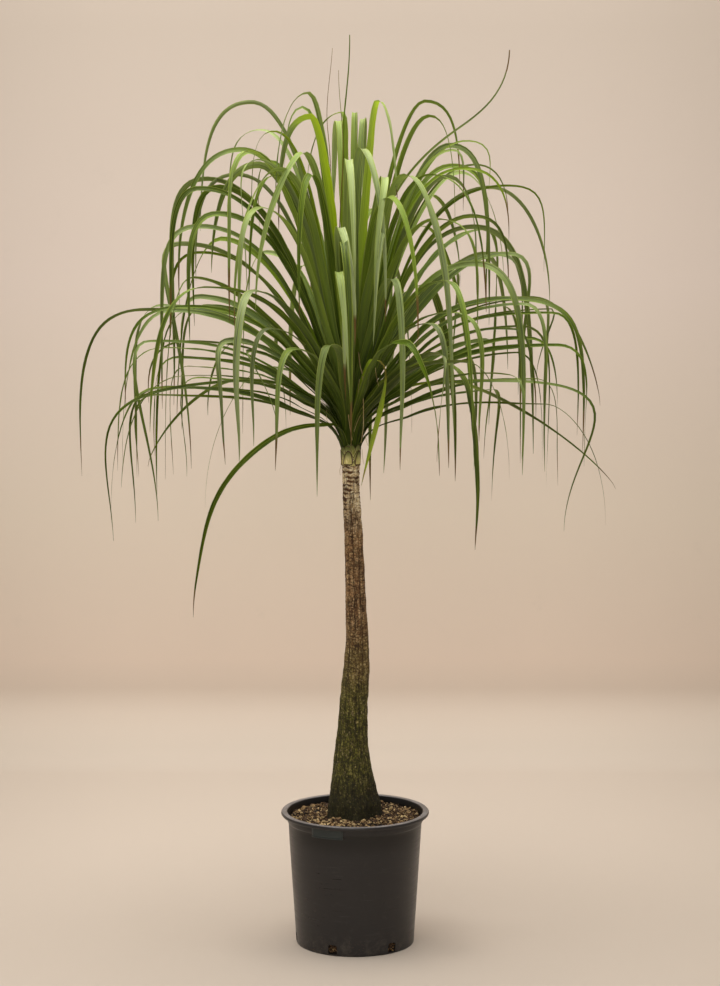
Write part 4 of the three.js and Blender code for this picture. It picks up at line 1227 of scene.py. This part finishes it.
def build_sheaths(material):
    """Tongue-shaped feet of shed leaves that clasp the stem under the crown, with dead brown margins."""
    draw = Draw(SHEATH_SEED)
    points, faces, marks = [], [], []
    columns, steps = 17, 22
    for first, long, wide, foot_r, tip_r, count, turn, margin in SHEATH_ROWS:
        for n in range(count):
            middle = math.radians(turn + n * 360 / count + draw.bell(3) - 90)
            length = long * draw.span(0.88, 1.08)
            width = wide * draw.span(0.92, 1.1)
            foot_h = CROWN_Z + first + draw.bell(0.8)
            tone, lean = draw.next(), draw.bell(0.14)
            faces += shifted(grid_faces(steps, columns, False), len(points))
            for i, k in product(range(steps), range(columns)):
                v = i / (steps - 1)
                u = -1 + 2 * k / (columns - 1)
                half = 0.5 * width * min(1, 0.8 + 2 * v) * max(1 - v**2.6, 0.0) ** 0.6 + 0.2
                inset = min((1 - abs(u)) * half, v * length, (1 - v) * length)
                rim = max(1 - inset / margin, 0)
                ragged = draw.bell(0.25) * rim
                radius = foot_r + (tip_r - foot_r) * v + 0.7 * (1 - u * u) * (1 - v) + 0.35 * rim
                a = middle + lean * v + (u * half + ragged) / radius
                h = foot_h + length * v + ragged
                points.append((CROWN_X + radius * math.cos(a), radius * math.sin(a), h))
                marks.append((rim, v, tone))
    sheaths = mesh_object("leaf_sheaths", points, faces, material, sheath_marks=marks)
    thick = sheaths.modifiers.new("thickness", "SOLIDIFY")
    thick.thickness = 0.6 * MM
    thick.offset = -1
    piece(sheaths, "leaf_crown")


def build_strands(material):
    """Thin dry ribbons with a little twist."""
    draw = Draw(STRAND_SEED)
    points, faces = [], []
    sides = 5
    for spots, depth, radius in STRANDS:
        t = np.linspace(0, 1, 6 * len(spots))
        x, z = [np.interp(t, np.linspace(0, 1, len(spots)), values) for values in zip(*spots)]
        for _ in range(3):
            for values in (x, z):
                values[1:-1] = (values[:-2] + values[1:-1] * 2 + values[2:]) / 4
        y = depth + 2.5 * np.sin(t * 5 + depth)
        start, twist = len(points), draw.span(0, 3)
        for i, k in product(range(len(t)), range(sides)):
            taper = radius * (1.0 - 0.45 * t[i])
            a = twist + t[i] * 2.2 + k * 2 * math.pi / sides
            c, s = taper * math.cos(a), taper * math.sin(a)
            points.append((x[i] + c, y[i] + 0.6 * s, z[i] + 0.2 * s))
        faces += shifted(grid_faces(len(t), sides, True), start)
        end = len(points)
        faces += [tuple(range(start, start + sides)), tuple(reversed(range(end - sides, end)))]
    piece(mesh_object("dry_strands", points, faces, material), "leaf_crown")


# ------------------------------------------------------------------ studio, metres
PAPER_ENDS = (-60.0, -8.0, -3.0, 3.0, 8.0, 60.0)
PAPER_FRONT = (-60.0, -9.0, -3.0, 0.0)
PAPER_TOP = 7.5
PAPER_RAMP_TOP = 2.2
BEND_FROM = 1.5
BEND_R = 0.19
BEND_STEPS = 24
FLOOR_ENDS = (-60.0, -8.0, 8.0, 60.0)
FLOOR_BACK = (9.0, 60.0)
FLOOR_Z = -0.0005


def build_stage(material):
    """Paper that runs up from the floor into the wall, and the floor carried on behind the wall."""
    paper = [(y, 0.0) for y in (*PAPER_FRONT, BEND_FROM)]
    for n in range(1, BEND_STEPS + 1):
        a = n / BEND_STEPS * math.pi / 2
        paper.append((BEND_FROM + BEND_R * math.sin(a), BEND_R - BEND_R * math.cos(a)))
    paper.append((BEND_FROM + BEND_R, PAPER_TOP))
    floor = [(y, FLOOR_Z) for y in (BEND_FROM, *FLOOR_BACK)]
    for name, rows, ends in (("studio_paper", paper, PAPER_ENDS), ("studio_floor", floor, FLOOR_ENDS)):
        points = [(x / MM, y / MM, z / MM) for (y, z), x in product(rows, ends)]
        mesh_object(name, points, grid_faces(len(rows), len(ends), False), material)


def area_light(name, place, aim, size, energy, colour):
    data = bpy.data.lights.new(name, "AREA")
    data.shape = "RECTANGLE"
    data.size, data.size_y = size
    data.energy = energy
    data.color = colour
    light = bpy.data.objects.new(name, data)
    light.location = place
    direction = np.array(aim) - np.array(place)
    pitch = math.acos(-unit(direction)[2])
    light.rotation_euler = (pitch, 0.0, math.atan2(direction[1], direction[0]) - math.pi / 2)
    bpy.context.scene.collection.objects.link(light)


def build_lights():
    area_light("overhead", (-0.3, 0.35, 4.5), (0.0, 0.0, 1.2), (4.6, 3.6), 250, (1.0, 0.985, 0.955))
    area_light("front_fill", (-0.8, -5.6, 3.4), (0.0, -0.6, 0.3), (5.0, 2.6), 86, (1.0, 0.98, 0.955))
    area_light("wall_wash", (0.0, -0.4, 4.6), (0.0, 2.1, 1.0), (6.0, 1.6), 70, (1.0, 0.98, 0.95))
    world = bpy.data.worlds.new("room")
    world.use_nodes = True
    shade = world.node_tree.nodes["Background"]
    shade.inputs["Color"].default_value = (1.0, 0.965, 0.925, 1.0)
    shade.inputs["Strength"].default_value = 0.27
    bpy.context.scene.world = world


def build_camera():
    data = bpy.data.cameras.new("view")
    data.lens = 100
    data.sensor_width = 36
    camera = bpy.data.objects.new("view", data)
    camera.location = (0.010, -5.437, 1.607)
    camera.rotation_euler = (math.radians(90 - 7.195), 0, 0)
    bpy.context.scene.collection.objects.link(camera)
    bpy.context.scene.camera = camera


# ------------------------------------------------------------------ assembly
build_camera()
bpy.context.scene.view_settings.view_transform = "Standard"

chips = chip_look()
sheath = sheath_look()
build_pot(plastic_look("pot_plastic", (0.0122, 0.0108, 0.0108), (0.0205, 0.0184, 0.0182), 0.27, 0.42))
build_tab(plastic_look("tab_plastic", (0.016, 0.023, 0.022), (0.028, 0.038, 0.036), 0.34, 0.5))
build_soil(chips)
build_chips(chips)
build_trunk(bark_look())
build_leaves(leaf_look())
build_heart(sheath)
build_sheaths(sheath)
build_strands(dry_look())
build_stage(studio_look())
build_lights()
